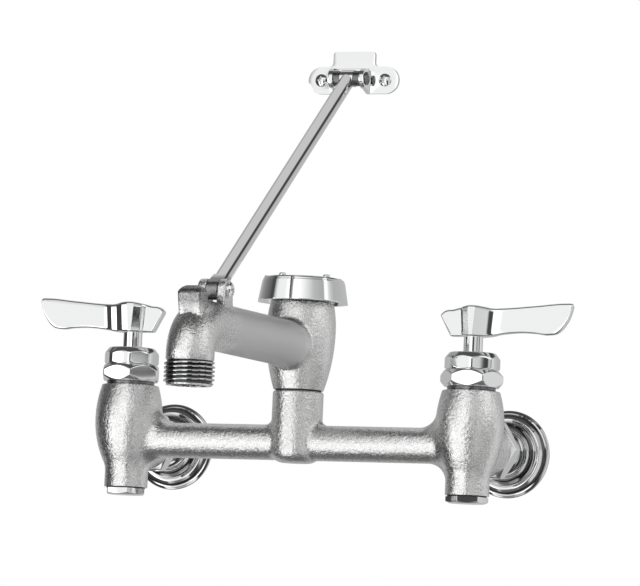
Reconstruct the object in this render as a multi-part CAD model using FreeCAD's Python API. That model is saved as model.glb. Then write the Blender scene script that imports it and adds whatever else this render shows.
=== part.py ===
"""Commercial wall faucet: two quarter-turn valves on a cast bar, a vacuum-breaker
spout with a hose thread, and a wall brace.  Millimetres.  X runs along the bar,
+Y into the wall, +Z up.  The origin is on the finished wall, midway between the
two inlets and at their height."""
import FreeCAD, Part
import math
import os

V = FreeCAD.Vector
X_AXIS = V(1, 0, 0)
Y_AXIS = V(0, 1, 0)
Z_AXIS = V(0, 0, 1)

# ---- layout ---------------------------------------------------------------
inlet_centres = 203.2          # 8 in rough-in
wall_to_valve = 64.0           # finished wall to the valve axes
spout_reach = 152.4            # column axis to outlet axis, 6 in
arm_height = 53.3              # arm axis above the inlets
outlet_height = 19.5           # lowest face of the hose thread
thread_gap = 0.05              # radial, a made-up thread
running_gap = 0.06             # radial, a turning or sliding fit
seat_gap = 0.05                # between pieces that bear on each other
free_gap = 0.3                 # between pieces that must never rub

# ---- bar and column ---------------------------------------------------------
bar_r = 9.8
bar_bore_r = 6.5
column_r = 14.1
column_foot_z = -11.2
column_toe_r = 7.0
column_top_z = 28.3
column_bore_r = 6.3
bar_valve_fillet = 11.0
boss_fillet = 3.0
bar_column_fillet = 4.5

# ---- valve bodies -------------------------------------------------------------
body_top_z = 30.3
body_top_r = 15.8
body_belly_r = 18.8
body_belly_z = 11.0
body_waist_r = 13.2
body_waist_z = -13.0
body_foot_r = 12.1
body_foot_z = -26.8
upper_chamber_r = 12.5
bridge_top_z = 9.0
bridge_wall = 3.0
bridge_port_r = 6.4
lower_chamber_r = 8.8
crossover_r = 4.0              # sloping passage from the upper chamber to the bar
rear_boss_r = 15.2
rear_boss_reach = 25.5         # valve axis to the end of the boss
spigot_r = 10.6
spigot_length = 4.9
spigot_groove_depth = 1.0
inlet_way_r = 7.5

# ---- inlet couplings ------------------------------------------------------------
clip_width = 1.2
clip_lip = 1.9                 # nut metal ahead of the clip
clip_slot = 5.0                # opening of the split ring
coupling_nut_flats = 31.0
coupling_nut_length = 9.0
shank_r = 13.1
washer_thickness = 1.6
inlet_thread_r = 9.4           # 1/2 in female pipe thread, at its crests
inlet_thread_length = 14.0
flange_r = 24.5
flange_depth = 9.6
flange_sheet = 0.9

# ---- bonnet, packing nut and cartridge ----------------------------------------
bonnet_neck_r = 13.3
bonnet_neck_depth = 8.0        # thread below the body's top face
bonnet_gap = 1.9               # neck left in view between body and hexagon
bonnet_flats = 30.4
bonnet_hex_height = 9.2
bonnet_chamfer = 46.0          # slope of the cones at its ends, in degrees
spigot_top_r = 10.8            # thread that takes the packing nut
spigot_top_height = 4.8
packing_nut_width = 28.8
packing_nut_r = 15.25          # its corners are turned down to this
packing_nut_height = 9.8
packing_ring_height = 2.4
cartridge_r = 11.3
disc_r = 9.2
disc_thickness = 3.0
seat_seal_height = 1.8
cartridge_top_z = 34.0
stem_r = 5.3
stem_flange_height = 2.6
broach_width = 6.6
bonnet_turn_hot = 21.0         # how far each nut ended up turned, in degrees
bonnet_turn_cold = 40.4
packing_nut_turn = -4.5
broach_length = 9.0

# ---- handles --------------------------------------------------------------------
handle_foot_z = 60.0
handle_crown_z = 76.9
hub_half = 7.9
hub_offset = 0.8               # of the front facets along the lever
hub_facet_foot = 1.0           # half width of the front facet at the hub's foot
hub_facet_rise = 15.0
hub_facet_top = 2.2            # and that far above it
blade_facet_angle = 33.0       # of the facets beside the blade, from the lever's side
tail_facet_angle = 50.0
handle_hollow_r = 4.0          # hollows between the hub and its blade and tail
handle_reach = 57.0
handle_tail = 19.0
blade_half = 2.5
tail_half = 2.4
handle_screw_r = 2.0
button_r = 4.6

# ---- bottom plugs ----------------------------------------------------------------
plug_flats = 20.4
plug_head = 3.6
plug_thread = 6.5
plug_gasket_thickness = 0.6
plug_turn_hot = 27.5
plug_turn_cold = 52.0

# ---- spout ----------------------------------------------------------------------
riser_r = 8.6
riser_wall = 2.2
riser_in_column = 15.0
riser_top_z = 68.0
joint_seal_thickness = 0.8
spout_foot_r = 13.9
spout_belly_r = 19.2
spout_belly_z = 62.5
spout_shoulder_r = 17.7
spout_shoulder_z = 77.0
spout_neck_r = 15.7
spout_neck_z = 84.0
spout_cavity_r = 13.0
spout_floor_z = 38.0
arm_r = 12.8
arm_fillet = 3.5               # where the arm leaves the barrel
arm_bore_r = 9.4
elbow_radius = 17.0
outlet_neck_r = 12.3
hose_thread_r = 13.49          # 3/4 in garden-hose thread, outside diameter
hose_thread_length = 13.8

# ---- pail hook and brace ears -----------------------------------------------------
hook_width = 13.4
hook_depth = 8.5
hook_top_z = 72.2
hook_crown_r = 4.4
hook_edge_round = 1.6
ear_edge_round = 1.0
pivot_from_outlet = 29.1
pivot_z = 72.7
ear_gap = 6.8
ear_thickness = 4.6
ear_r = 6.0
pivot_screw_r = 2.4
pivot_head_r = 4.2
pivot_head = 2.6

# ---- vacuum breaker ---------------------------------------------------------------
float_r = 10.6
float_thickness = 2.4
float_gasket = 1.0
float_travel = 4.0
float_stem_r = 2.4
vent_insert_flange_r = 15.0
vent_hole_r = 1.9
vent_circle_r = 8.2
cap_r = 26.1                   # at its five corners
cap_face_drop = 1.7            # how far the faces' middles lie inside the corners
cap_foot_z = 77.6
cap_top_z = 91.2
cap_taper = 0.905
cap_wall = 1.7
cap_sides = 5
cap_turn = -108.0              # degrees from +X to a corner
cap_round = 1.5                # along its ridges and round its crown
nub_r = 1.9
nub_circle_r = 20.6
nub_past_corner = 6.0          # degrees

# ---- brace -----------------------------------------------------------------------
rod_r = 4.2
rod_eye_r = 5.4
rod_eye_thickness = 6.2
tip_eye_r = 4.9
tip_half = 3.9
bracket_pin_y = -9.5
bracket_pin_z = 210.5
bracket_pin_r = 2.4
plate_thickness = 2.6
plate_length = 54.6
plate_height = 15.5
tab_width = 25.2
tab_height = 8.6
notch_width = 21.4
notch_above_pin = 6.6
bracket_ear_reach = 15.2
spacer_r = 4.4
bracket_screw_spacing = 38.6
bracket_screw_r = 2.1
bracket_screw_neck_r = 1.9
bracket_screw_length = 12.0
bracket_head_r = 3.6

# ---- positions that follow from the above --------------------------------------------
valve_y = -wall_to_valve
hot_x = -inlet_centres / 2
cold_x = inlet_centres / 2
outlet_y = valve_y - spout_reach
pivot_y = outlet_y + pivot_from_outlet
hex_foot_z = body_top_z + bonnet_gap
hex_top_z = hex_foot_z + bonnet_hex_height
packing_top_z = hex_top_z + packing_nut_height
boss_end_y = valve_y + rear_boss_reach
spigot_end_y = boss_end_y + spigot_length
nut_front_y = boss_end_y + free_gap
nut_back_y = nut_front_y + coupling_nut_length
clip_front_y = nut_front_y + clip_lip + seat_gap
shank_front_y = spigot_end_y + washer_thickness + 2 * seat_gap
fixed_disc_z = bridge_top_z + seat_seal_height + 2 * seat_gap
moving_disc_z = fixed_disc_z + disc_thickness + seat_gap
stem_foot_z = moving_disc_z + disc_thickness + seat_gap
spout_foot_z = column_top_z + joint_seal_thickness + 2 * seat_gap
float_seat_z = riser_top_z + seat_gap
float_top_z = float_seat_z + float_gasket + float_thickness
vent_foot_z = float_top_z + float_travel + seat_gap
rod_angle = math.atan2(bracket_pin_z - pivot_z, bracket_pin_y - pivot_y)
rod_span = math.hypot(bracket_pin_z - pivot_z, bracket_pin_y - pivot_y)


# ---- shared helpers -------------------------------------------------------------
def disc_z(radius, z0, z1, x=0.0, y=0.0):
    return Part.makeCylinder(radius, z1 - z0, V(x, y, z0), Z_AXIS)


def disc_y(radius, y0, y1, x=0.0, z=0.0):
    return Part.makeCylinder(radius, y1 - y0, V(x, y0, z), Y_AXIS)


def disc_x(radius, x0, x1, y=0.0, z=0.0):
    return Part.makeCylinder(radius, x1 - x0, V(x0, y, z), X_AXIS)


def ring_z(outer, inner, z0, z1, x=0.0, y=0.0):
    return disc_z(outer, z0, z1, x, y).cut(disc_z(inner, z0 - 1, z1 + 1, x, y))


def arc(a, b, c):
    return Part.Arc(a, b, c).toShape()


def line(a, b):
    return Part.makeLine(a, b)


def closed_wire(steps):
    """A closed wire of points; a pair is an arc's middle and end."""
    edges = []
    here = steps[0]
    for step in steps[1:] + [steps[0]]:
        if isinstance(step, tuple):
            edges.append(arc(here, step[0], step[1]))
            here = step[1]
        elif (step - here).Length > 1e-6:
            edges.append(line(here, step))
            here = step
    return Part.Wire(edges)


def turned(steps, seam=0.0):
    """A solid turned about Z from an outline in the XZ plane; seam is in degrees."""
    solid = Part.Face(closed_wire(steps)).revolve(V(), Z_AXIS, 360)
    solid.rotate(V(), Z_AXIS, seam)
    return solid


def dome(radius, z, rise):
    """Middle and end points of the outline of a spherical crown on a round head."""
    ball = (radius ** 2 + rise ** 2) / (2 * rise)
    lean = math.asin(radius / ball) / 2
    return V(ball * math.sin(lean), 0, z + rise - ball * (1 - math.cos(lean))), V(0, 0, z + rise)


def about_y(solid, x, y):
    """Turns a solid made about Z so that its top points into the wall."""
    out = solid.copy()
    out.rotate(V(), X_AXIS, -90)
    out.translate(V(x, y, 0))
    return out


def moved(shape, x, y, z=0.0):
    out = shape.copy()
    out.translate(V(x, y, z))
    return out


def prism(flats, z0, z1, sides=6, turn=0.0):
    """An upright regular prism, measured across its flats; turn is in degrees."""
    corner = flats / 2 / math.cos(math.pi / sides)
    step = 2 * math.pi / sides
    start = math.radians(turn) + step / 2
    ring = [V(corner * math.cos(start + i * step), corner * math.sin(start + i * step), z0)
            for i in range(sides)]
    return Part.Face(Part.makePolygon(ring + [ring[0]])).extrude(V(0, 0, z1 - z0))


def nut_blank(flats, z0, z1, sides, turn, top_cut, foot_cut, slope=30.0):
    """A prism with its ends turned to a cone of that slope, so each flat ends in a curve."""
    reach = flats / 2 / math.cos(math.pi / sides) + 0.5
    face_r = flats / 2 * 0.97
    fall = (reach - face_r) * math.tan(math.radians(slope))
    low = face_r if foot_cut else reach
    high = face_r if top_cut else reach
    outline = [V(0, 0, z0), V(low, 0, z0)]
    if foot_cut:
        outline.append(V(reach, 0, z0 + fall))
    if top_cut:
        outline.append(V(reach, 0, z1 - fall))
    outline += [V(high, 0, z1), V(0, 0, z1)]
    return prism(flats, z0, z1, sides, turn).common(turned(outline, turn))


def picked(shape, test):
    return [edge for edge in shape.Edges if test(edge.BoundBox)]


def save(name, shape):
    shape.exportStep("parts/" + name + ".step")
    print(name, len(shape.Solids), round(shape.Volume, 1), shape.isValid())


# ---- cast manifold ---------------------------------------------------------------
def upright_arc(start_r, start_z, end_r, end_z):
    """Middle point and lean of an arc that leaves its start parallel to the axis."""
    inward = start_r - end_r
    rise = end_z - start_z
    radius = (inward ** 2 + rise ** 2) / (2 * inward)
    lean = math.asin(abs(rise) / radius)
    middle_r = start_r - radius * (1 - math.cos(lean / 2))
    middle_z = start_z + math.copysign(radius * math.sin(lean / 2), rise)
    return V(middle_r, 0, middle_z), lean


def valve_outside(seam):
    """One bulged valve body: belly arcs, a tangent waist and a straight foot."""
    belly = V(body_belly_r, 0, body_belly_z)
    top = V(body_top_r, 0, body_top_z)
    waist = V(body_waist_r, 0, body_waist_z)
    upper, _ = upright_arc(body_belly_r, body_belly_z, body_top_r, body_top_z)
    lower, lean = upright_arc(body_belly_r, body_belly_z, body_waist_r, body_waist_z)
    waist_arc = (body_waist_r - body_foot_r) / (1 - math.cos(lean))
    neck_z = body_waist_z - waist_arc * math.sin(lean)
    neck = V(body_foot_r, 0, neck_z)
    hollow = V(body_foot_r + waist_arc * (1 - math.cos(lean / 2)), 0,
               neck_z + waist_arc * math.sin(lean / 2))
    return turned([V(0, 0, body_foot_z), V(body_foot_r, 0, body_foot_z), neck, (hollow, waist),
                   (lower, belly), (upper, top), V(0, 0, body_top_z)], seam)


def column_outside():
    """The centre column, which runs down in front of the bar to a rounded toe."""
    flat = column_r - column_toe_r
    bend = column_toe_r * math.sin(math.pi / 4)
    toe = V(flat + bend, 0, column_foot_z + column_toe_r - bend)
    side = V(column_r, 0, column_foot_z + column_toe_r)
    edge = 0.7
    return turned([V(0, 0, column_foot_z), V(flat, 0, column_foot_z), (toe, side),
                   V(column_r, 0, column_top_z - edge), V(column_r - edge, 0, column_top_z),
                   V(0, 0, column_top_z)], -90)


def manifold_outside():
    bar = disc_x(bar_r, hot_x, cold_x, valve_y)
    bar.rotate(V(0, valve_y, 0), X_AXIS, -90)
    body = bar.fuse([moved(column_outside(), 0, valve_y),
                     moved(valve_outside(180), hot_x, valve_y),
                     moved(valve_outside(0), cold_x, valve_y)]).removeSplitter()
    inner = cold_x - body_belly_r - 1

    def bar_meets_valve(box):
        low, high = sorted((abs(box.XMin), abs(box.XMax)))
        return low > inner and high < cold_x - 12 and box.ZMax < bar_r + 0.5 and box.ZLength > 3

    def bar_meets_column(box):
        return (abs(box.Center.x) < column_r and 5 < max(abs(box.XMin), abs(box.XMax)) < column_r + 0.2
                and min(abs(box.XMin), abs(box.XMax)) > 7 and box.ZMax < bar_r + 0.5 and box.ZLength > 3)

    body = body.makeFillet(bar_valve_fillet, picked(body, bar_meets_valve))
    body = body.makeFillet(bar_column_fillet, picked(body, bar_meets_column))
    for x in (hot_x, cold_x):
        boss = disc_y(rear_boss_r, valve_y, boss_end_y, x)
        body = body.fuse(boss).removeSplitter()
    return body


def boss_rounding(body):
    def boss_root(box):
        inside = box.YMin > valve_y + 2 and box.YMax < boss_end_y - 1
        near = min(abs(abs(box.Center.x) - cold_x), 99) < rear_boss_r
        return inside and near and box.ZLength > 3 and box.ZMax < rear_boss_r + 0.5

    def rims(box):
        flat_top = box.ZLength < 0.01 and abs(box.ZMax - body_top_z) < 0.01 and box.XLength > 20
        boss_face = box.YLength < 0.01 and abs(box.YMax - boss_end_y) < 0.01
        return flat_top or boss_face

    body = body.makeFillet(boss_fillet, picked(body, boss_root))
    return body.makeFillet(0.8, picked(body, rims))


def valve_cavities(x, inward):
    """Chambers, port, inlet and crossover of one valve; inward points at the column."""
    upper = disc_z(upper_chamber_r, bridge_top_z, body_top_z + 1, x, valve_y)
    thread = disc_z(bonnet_neck_r + thread_gap, body_top_z - bonnet_neck_depth - 0.4,
                    body_top_z + 1, x, valve_y)
    port = disc_z(bridge_port_r, 0, bridge_top_z + 1, x, valve_y)
    lower = disc_z(lower_chamber_r, body_foot_z - 1, bridge_top_z - bridge_wall, x, valve_y)
    inlet = disc_y(inlet_way_r, valve_y, spigot_end_y + 1, x)
    start = V(x + inward * 27.0, valve_y, 0)
    end = V(x + inward * 6.0, valve_y, bridge_top_z + 10.0)
    crossover = Part.makeCylinder(crossover_r, (end - start).Length, start, end - start)
    return [upper, thread, port, lower, inlet, crossover]


def coupling_spigot(x):
    spigot = disc_y(spigot_r, boss_end_y - 1, spigot_end_y, x)
    groove = disc_y(spigot_r + 1, clip_front_y - seat_gap, clip_front_y + clip_width + seat_gap, x)
    floor = disc_y(spigot_r - spigot_groove_depth, boss_end_y - 2, spigot_end_y + 1, x)
    return spigot.cut(groove.cut(floor))


def manifold_casting():
    body = boss_rounding(manifold_outside())
    body = body.fuse([coupling_spigot(x) for x in (hot_x, cold_x)])
    end = cold_x - 23.5
    cuts = [disc_x(bar_bore_r, -end, end, valve_y), disc_z(column_bore_r, 0, column_top_z + 1, 0, valve_y)]
    cuts.append(disc_z(riser_r + thread_gap, column_top_z - riser_in_column - 1,
                       column_top_z + 1, 0, valve_y))
    cuts += valve_cavities(hot_x, 1) + valve_cavities(cold_x, -1)
    save("manifold_casting", body.cut(cuts).removeSplitter())


# ---- inlet couplings ------------------------------------------------------------
def retaining_clip():
    """A split ring that holds the coupling nut on the spigot."""
    inner = spigot_r - spigot_groove_depth + seat_gap
    outer = shank_r - 0.8
    ring = ring_z(outer, inner, 0, clip_width)
    slot = Part.makeBox(outer + 2, clip_slot, clip_width + 2, V(0, -clip_slot / 2, -1))
    return ring.cut(slot)


def coupling_nut():
    """A hexagon that slides on the spigot and screws over the shank."""
    nut = nut_blank(coupling_nut_flats, 0, coupling_nut_length, 6, 30, True, True)
    lip_hole = disc_z(spigot_r + 0.15, -1, coupling_nut_length + 1)
    thread = disc_z(shank_r + thread_gap, clip_lip, coupling_nut_length + 1)
    return nut.cut([lip_hole, thread])


def inlet_shank():
    """The short supply shank: outside thread ahead, female pipe thread at the wall."""
    length = -shank_front_y
    tube = disc_z(shank_r, 0, length)
    lead = tube.makeChamfer(0.6, picked(tube, lambda box: box.ZMax < 0.01))
    way = disc_z(inlet_way_r, -1, length)
    socket = disc_z(inlet_thread_r, length - inlet_thread_length, length + 1)
    return lead.cut([way, socket])


def wall_flange():
    """A stamped escutcheon in four rings that slides on the shank; its rim meets the wall."""
    hole = shank_r + 0.12
    front = flange_depth
    ring = (flange_r - hole) / 4.5
    fall = (front - 1.6) / 4
    outline = [V(hole, 0, front - flange_sheet), V(hole, 0, front), V(hole + 0.5 * ring, 0, front)]
    for i in range(4):
        r = hole + (0.5 + i) * ring
        z = front - i * fall
        foot = 0.0 if i == 3 else z - fall + 0.9
        outline.append((V(r + 0.66 * ring, 0, z - 0.30 * (z - foot)), V(r + 0.98 * ring, 0, foot)))
        if i < 3:
            outline.append(V(r + ring, 0, z - fall))
    inner = [V(flange_r - flange_sheet - 0.2, 0, 0), V(flange_r - flange_sheet - 0.4, 0, 0.4),
             V(hole + 1.5 * ring - 0.6, 0, front - fall - 1.9), V(hole + 0.9, 0, front - flange_sheet)]
    return turned(outline + inner)


def inlet_couplings():
    for side, x in (("hot", hot_x), ("cold", cold_x)):
        save("retaining_clip_" + side, about_y(retaining_clip(), x, clip_front_y))
        save("coupling_nut_" + side, about_y(coupling_nut(), x, nut_front_y))
        washer = ring_z(shank_r - 0.4, inlet_way_r, 0, washer_thickness)
        save("coupling_washer_" + side, about_y(washer, x, spigot_end_y + seat_gap))
        save("inlet_shank_" + side, about_y(inlet_shank(), x, shank_front_y))
        bell = wall_flange()
        bell.rotate(V(), X_AXIS, 180)
        save("wall_flange_" + side, about_y(bell, x, 0))


# ---- bonnet, packing nut and cartridge ----------------------------------------
def bonnet(turn):
    """Hexagon with a neck below, a threaded spigot above and a bore for the cartridge."""
    hexagon = nut_blank(bonnet_flats, hex_foot_z, hex_top_z, 6, turn, True, True, bonnet_chamfer)
    neck = disc_z(bonnet_neck_r, body_top_z - bonnet_neck_depth, hex_foot_z + 1)
    spigot = disc_z(spigot_top_r, hex_top_z - 1, hex_top_z + spigot_top_height)
    pocket = disc_z(cartridge_r + running_gap, 0, cartridge_top_z + seat_gap)
    barrel = disc_z(stem_r + 0.2, 0, packing_top_z)
    return hexagon.fuse([neck, spigot]).cut([pocket, barrel]).removeSplitter()


def packing_nut(turn):
    """Eight-sided nut with a rounded crown, closed round the stem."""
    reach = packing_nut_r
    foot = hex_top_z + seat_gap
    top = packing_top_z
    crown = [V(0, 0, foot), V(packing_nut_width / 2 * 0.985, 0, foot), V(reach, 0, foot + 0.9),
             V(reach, 0, top - 2.6), (V(reach - 0.9, 0, top - 0.8), V(reach - 2.9, 0, top)),
             V(0, 0, top)]
    body = prism(packing_nut_width, foot, top, 8, turn).common(turned(crown, turn))
    thread_top = hex_top_z + spigot_top_height + packing_ring_height + 0.1
    thread = disc_z(spigot_top_r + thread_gap, foot - 1, thread_top)
    return body.cut([thread, disc_z(stem_r + 0.15, foot, top + 1)])


def cartridge_body():
    """Brass cartridge: disc bore, two side ports, a gland and the stem's bearing."""
    foot = bridge_top_z + seat_gap
    flange_top = stem_foot_z + stem_flange_height + seat_gap
    body = disc_z(cartridge_r, foot, cartridge_top_z)
    seal_bore = disc_z(disc_r + 0.1, foot - 1, flange_top)
    gland = disc_z(stem_r + 1.4, cartridge_top_z - 5.0, cartridge_top_z - 2.4)
    bearing = disc_z(stem_r + running_gap, foot, cartridge_top_z + 1)
    ports = []
    port_height = stem_foot_z + stem_flange_height - fixed_disc_z - disc_thickness
    for angle in (0, 180):
        port = Part.makeBox(cartridge_r + 2, 11.0, port_height, V(0, -5.5, moving_disc_z))
        port.rotate(V(), Z_AXIS, angle)
        ports.append(port)
    return body.cut([seal_bore, gland, bearing] + ports)


def port_sectors(z0, z1, angles):
    """Quarter-circle water ports of a ceramic disc."""
    cuts = []
    for angle in angles:
        ring = ring_z(disc_r - 2.0, 2.2, z0, z1)
        corner = Part.makeBox(disc_r, disc_r, z1 - z0, V(0.7, 0.7, z0))
        corner.rotate(V(), Z_AXIS, angle)
        cuts.append(ring.common(corner))
    return cuts


def fixed_disc():
    disc = disc_z(disc_r, fixed_disc_z, fixed_disc_z + disc_thickness)
    return disc.cut(port_sectors(fixed_disc_z - 1, fixed_disc_z + disc_thickness + 1, (0, 180)))


def moving_disc():
    """Turned a quarter against the fixed disc, so the valve is shut at rest."""
    top = moving_disc_z + disc_thickness
    disc = disc_z(disc_r, moving_disc_z, top)
    slot = Part.makeBox(2 * disc_r + 2, 3.2, 1.5, V(-disc_r - 1, -1.6, top - 1.4))
    slot.rotate(V(), Z_AXIS, 45)
    return disc.cut(port_sectors(moving_disc_z - 1, top + 1, (90, 270)) + [slot])


def valve_stem():
    """Driver flange with a tongue, the round stem and a square broach on top."""
    flange = disc_z(disc_r - 0.2, stem_foot_z, stem_foot_z + stem_flange_height)
    tongue = Part.makeBox(2 * disc_r - 3, 3.0, 1.4, V(-disc_r + 1.5, -1.5, stem_foot_z - 1.3))
    tongue.rotate(V(), Z_AXIS, 45)
    groove = ring_z(stem_r + 1, stem_r - 1.1, cartridge_top_z - 4.8, cartridge_top_z - 2.6)
    round_stem = disc_z(stem_r, stem_foot_z, handle_foot_z - 0.2).cut(groove)
    half = broach_width / 2
    broach = Part.makeBox(broach_width, broach_width, broach_length + 0.3,
                          V(-half, -half, handle_foot_z - 0.3))
    tapped = disc_z(handle_screw_r + thread_gap, handle_foot_z - 2.5, handle_foot_z + 20)
    return flange.fuse([tongue, round_stem, broach]).cut(tapped).removeSplitter()


def valve_insides():
    for side, x, turn in (("hot", hot_x, bonnet_turn_hot), ("cold", cold_x, bonnet_turn_cold)):
        save("bonnet_" + side, moved(bonnet(turn), x, valve_y))
        save("packing_nut_" + side, moved(packing_nut(packing_nut_turn), x, valve_y))
        foot = hex_top_z + spigot_top_height
        packing = ring_z(spigot_top_r - 0.3, stem_r + 0.05, foot + seat_gap, foot + packing_ring_height)
        save("packing_ring_" + side, moved(packing, x, valve_y))
        save("cartridge_body_" + side, moved(cartridge_body(), x, valve_y))
        seal = ring_z(disc_r, bridge_port_r + 0.4, bridge_top_z + seat_gap,
                      bridge_top_z + seat_gap + seat_seal_height)
        save("seat_seal_" + side, moved(seal, x, valve_y))
        o_ring = ring_z(stem_r + 1.3, stem_r - 1.0, cartridge_top_z - 4.6, cartridge_top_z - 2.8)
        save("stem_seal_" + side, moved(o_ring, x, valve_y))
        save("fixed_disc_" + side, moved(fixed_disc(), x, valve_y))
        save("moving_disc_" + side, moved(moving_disc(), x, valve_y))
        save("valve_stem_" + side, moved(valve_stem(), x, valve_y))


# ---- handles --------------------------------------------------------------------
def handle_side_view():
    """The lever seen from the side: raised tip, hollow underside and pointed tail."""
    z0 = handle_foot_z
    reach = handle_reach
    steps = [V(-handle_tail + 6.2, 0, z0), V(8.5, 0, z0),
             (V(18.0, 0, z0 + 1.5), V(28.0, 0, z0 + 2.3)),
             (V(36.0, 0, z0 + 2.0), V(43.5, 0, z0 + 1.3)),
             (V(49.6, 0, z0 + 2.7), V(52.8, 0, z0 + 6.4)),
             (V(55.4, 0, z0 + 11.2), V(reach, 0, z0 + 16.4)),
             (V(reach - 0.1, 0, z0 + 18.2), V(reach - 1.7, 0, z0 + 18.8)),
             V(17.4, 0, z0 + 15.8), V(10.8, 0, z0 + 15.6),
             (V(0.5, 0, handle_crown_z), V(-11.0, 0, z0 + 14.8)),
             V(-handle_tail + 0.6, 0, z0 + 12.4),
             (V(-handle_tail, 0, z0 + 11.7), V(-handle_tail + 0.2, 0, z0 + 11.0))]
    face = Part.Face(closed_wire(steps))
    return face.extrude(V(0, 40, 0)).translated(V(0, -20, 0))


def hub_outline(z):
    """Facets of the hub at a height: a front facet that widens upwards between two leaning ones.
    The front facets on the two sides are offset, as if the hub were a little turned."""
    half = hub_facet_foot + (hub_facet_top - hub_facet_foot) * (z - handle_foot_z) / hub_facet_rise
    root = min(blade_half, tail_half) - 0.4
    to_blade = half + (hub_half - root) / math.tan(math.radians(blade_facet_angle))
    to_tail = half + (hub_half - root) / math.tan(math.radians(tail_facet_angle))
    corners = []
    for sign in (-1, 1):
        middle = -sign * hub_offset
        run = [V(middle - to_tail, sign * root, z), V(middle - half, sign * hub_half, z),
               V(middle + half, sign * hub_half, z), V(middle + to_blade, sign * root, z)]
        corners += run[::-sign]
    return Part.makePolygon(corners + corners[:1])


def lever_handle():
    """Thin blade and tail fin through a faceted hub, cut to the side view."""
    foot = handle_foot_z - 1
    top = handle_crown_z + 1.5
    hub = Part.makeLoft([hub_outline(foot), hub_outline(top)], True, True)
    side = [V(-handle_tail - 1, tail_half, foot), V(0, blade_half, foot),
            V(handle_reach + 1, blade_half - 0.4, foot)]
    other = [V(p.x, -p.y, p.z) for p in side[::-1]]
    fin = Part.Face(Part.makePolygon(side + other + side[:1])).extrude(V(0, 0, top - foot + 1))
    body = hub.fuse(fin).removeSplitter()

    def root(box):
        upright = box.ZLength > handle_crown_z - handle_foot_z - 2
        beside_fin = abs(box.Center.y) < hub_half / 2 and abs(box.Center.x) > hub_half / 2
        return upright and beside_fin and abs(box.Center.x) < handle_tail - 1

    body = body.makeFillet(handle_hollow_r, picked(body, root))
    body = body.common(handle_side_view())
    half = broach_width / 2 + 0.05
    square = Part.makeBox(2 * half, 2 * half, broach_length + 1.2, V(-half, -half, handle_foot_z - 1))
    screw_way = disc_z(handle_screw_r + 0.2, handle_foot_z, handle_crown_z + 5)
    well = disc_z(button_r + 0.1, handle_foot_z + broach_length + 1.6, handle_crown_z + 5)
    return body.cut([square, screw_way, well])


def handle_screw():
    """Pan-head screw at the foot of the button's well."""
    seat = handle_foot_z + broach_length + 1.6 + seat_gap
    head = turned([V(0, 0, seat), V(3.7, 0, seat), V(3.7, 0, seat + 1.2),
                   dome(3.7, seat + 1.2, 1.3)])
    shank = disc_z(handle_screw_r, handle_foot_z - 1.5, seat + 0.5)
    slot = Part.makeBox(8, 0.9, 1.2, V(-4, -0.45, seat + 1.6))
    return head.cut(slot).fuse(shank)


def index_button():
    foot = handle_foot_z + broach_length + 4.4
    top = handle_crown_z - 0.3
    return turned([V(0, 0, foot), V(button_r, 0, foot), V(button_r, 0, top), dome(button_r, top, 1.0)])


def handles():
    for side, x, turn in (("hot", hot_x, 180), ("cold", cold_x, 0)):
        for name, shape in (("lever_handle_", lever_handle()), ("handle_screw_", handle_screw()),
                            ("index_button_", index_button())):
            shape.rotate(V(), Z_AXIS, turn)
            save(name + side, moved(shape, x, valve_y))


# ---- bottom plugs ----------------------------------------------------------------
def bottom_plugs():
    foot = body_foot_z - plug_gasket_thickness - 2 * seat_gap - plug_head
    head_top = foot + plug_head
    for side, x, turn in (("hot", hot_x, plug_turn_hot), ("cold", cold_x, plug_turn_cold)):
        head = nut_blank(plug_flats, foot, head_top, 6, turn, False, True)
        thread = disc_z(lower_chamber_r - thread_gap, head_top - 1, body_foot_z + plug_thread)
        hollow = disc_z(lower_chamber_r - 2.4, head_top, body_foot_z + plug_thread + 1)
        save("bottom_plug_" + side, moved(head.fuse(thread).cut(hollow), x, valve_y))
        gasket = ring_z(plug_flats / 2 + 0.6, lower_chamber_r + 0.1, head_top + seat_gap,
                        head_top + seat_gap + plug_gasket_thickness)
        save("plug_gasket_" + side, moved(gasket, x, valve_y))


# ---- spout ----------------------------------------------------------------------
def spout_upright():
    """The vacuum-breaker barrel: swelling sides, a shoulder and the neck under the cap."""
    foot = V(spout_foot_r, 0, spout_foot_z)
    belly = V(spout_belly_r, 0, spout_belly_z)
    shoulder = V(spout_shoulder_r, 0, spout_shoulder_z)
    lower, _ = upright_arc(spout_belly_r, spout_belly_z, spout_foot_r, spout_foot_z)
    upper, _ = upright_arc(spout_belly_r, spout_belly_z, spout_shoulder_r, spout_shoulder_z)
    bend = spout_shoulder_r - spout_neck_r
    roll = V(spout_neck_r + bend * 0.7, 0, spout_shoulder_z + bend * 0.7)
    neck = V(spout_neck_r, 0, spout_shoulder_z + bend)
    return turned([V(0, 0, spout_foot_z), foot, (lower, belly), (upper, shoulder), (roll, neck),
                   V(spout_neck_r, 0, spout_neck_z), V(0, 0, spout_neck_z)], 90)


def bent_tube(radius, end_z):
    """Round bar along the arm, through the elbow and down to end_z."""
    turn_y = outlet_y + elbow_radius
    elbow_z = arm_height - elbow_radius
    arm = disc_y(radius, turn_y, valve_y, 0, arm_height)
    section = Part.Face(Part.Wire(Part.makeCircle(radius, V(0, turn_y, arm_height), Y_AXIS)))
    elbow = section.revolve(V(0, turn_y, elbow_z), X_AXIS, 90)
    drop = disc_z(radius, end_z, elbow_z, 0, outlet_y)
    return arm.fuse([elbow, drop])


def hose_outlet():
    """Outlet end: the thread's outside cylinder with a lead at the mouth."""
    top = outlet_height + hose_thread_length
    lead = 1.3
    return moved(turned([V(0, 0, outlet_height), V(hose_thread_r - lead, 0, outlet_height),
                         V(hose_thread_r, 0, outlet_height + lead), V(hose_thread_r, 0, top - 0.8),
                         V(hose_thread_r - 0.8, 0, top), V(0, 0, top)]), 0, outlet_y)


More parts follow.
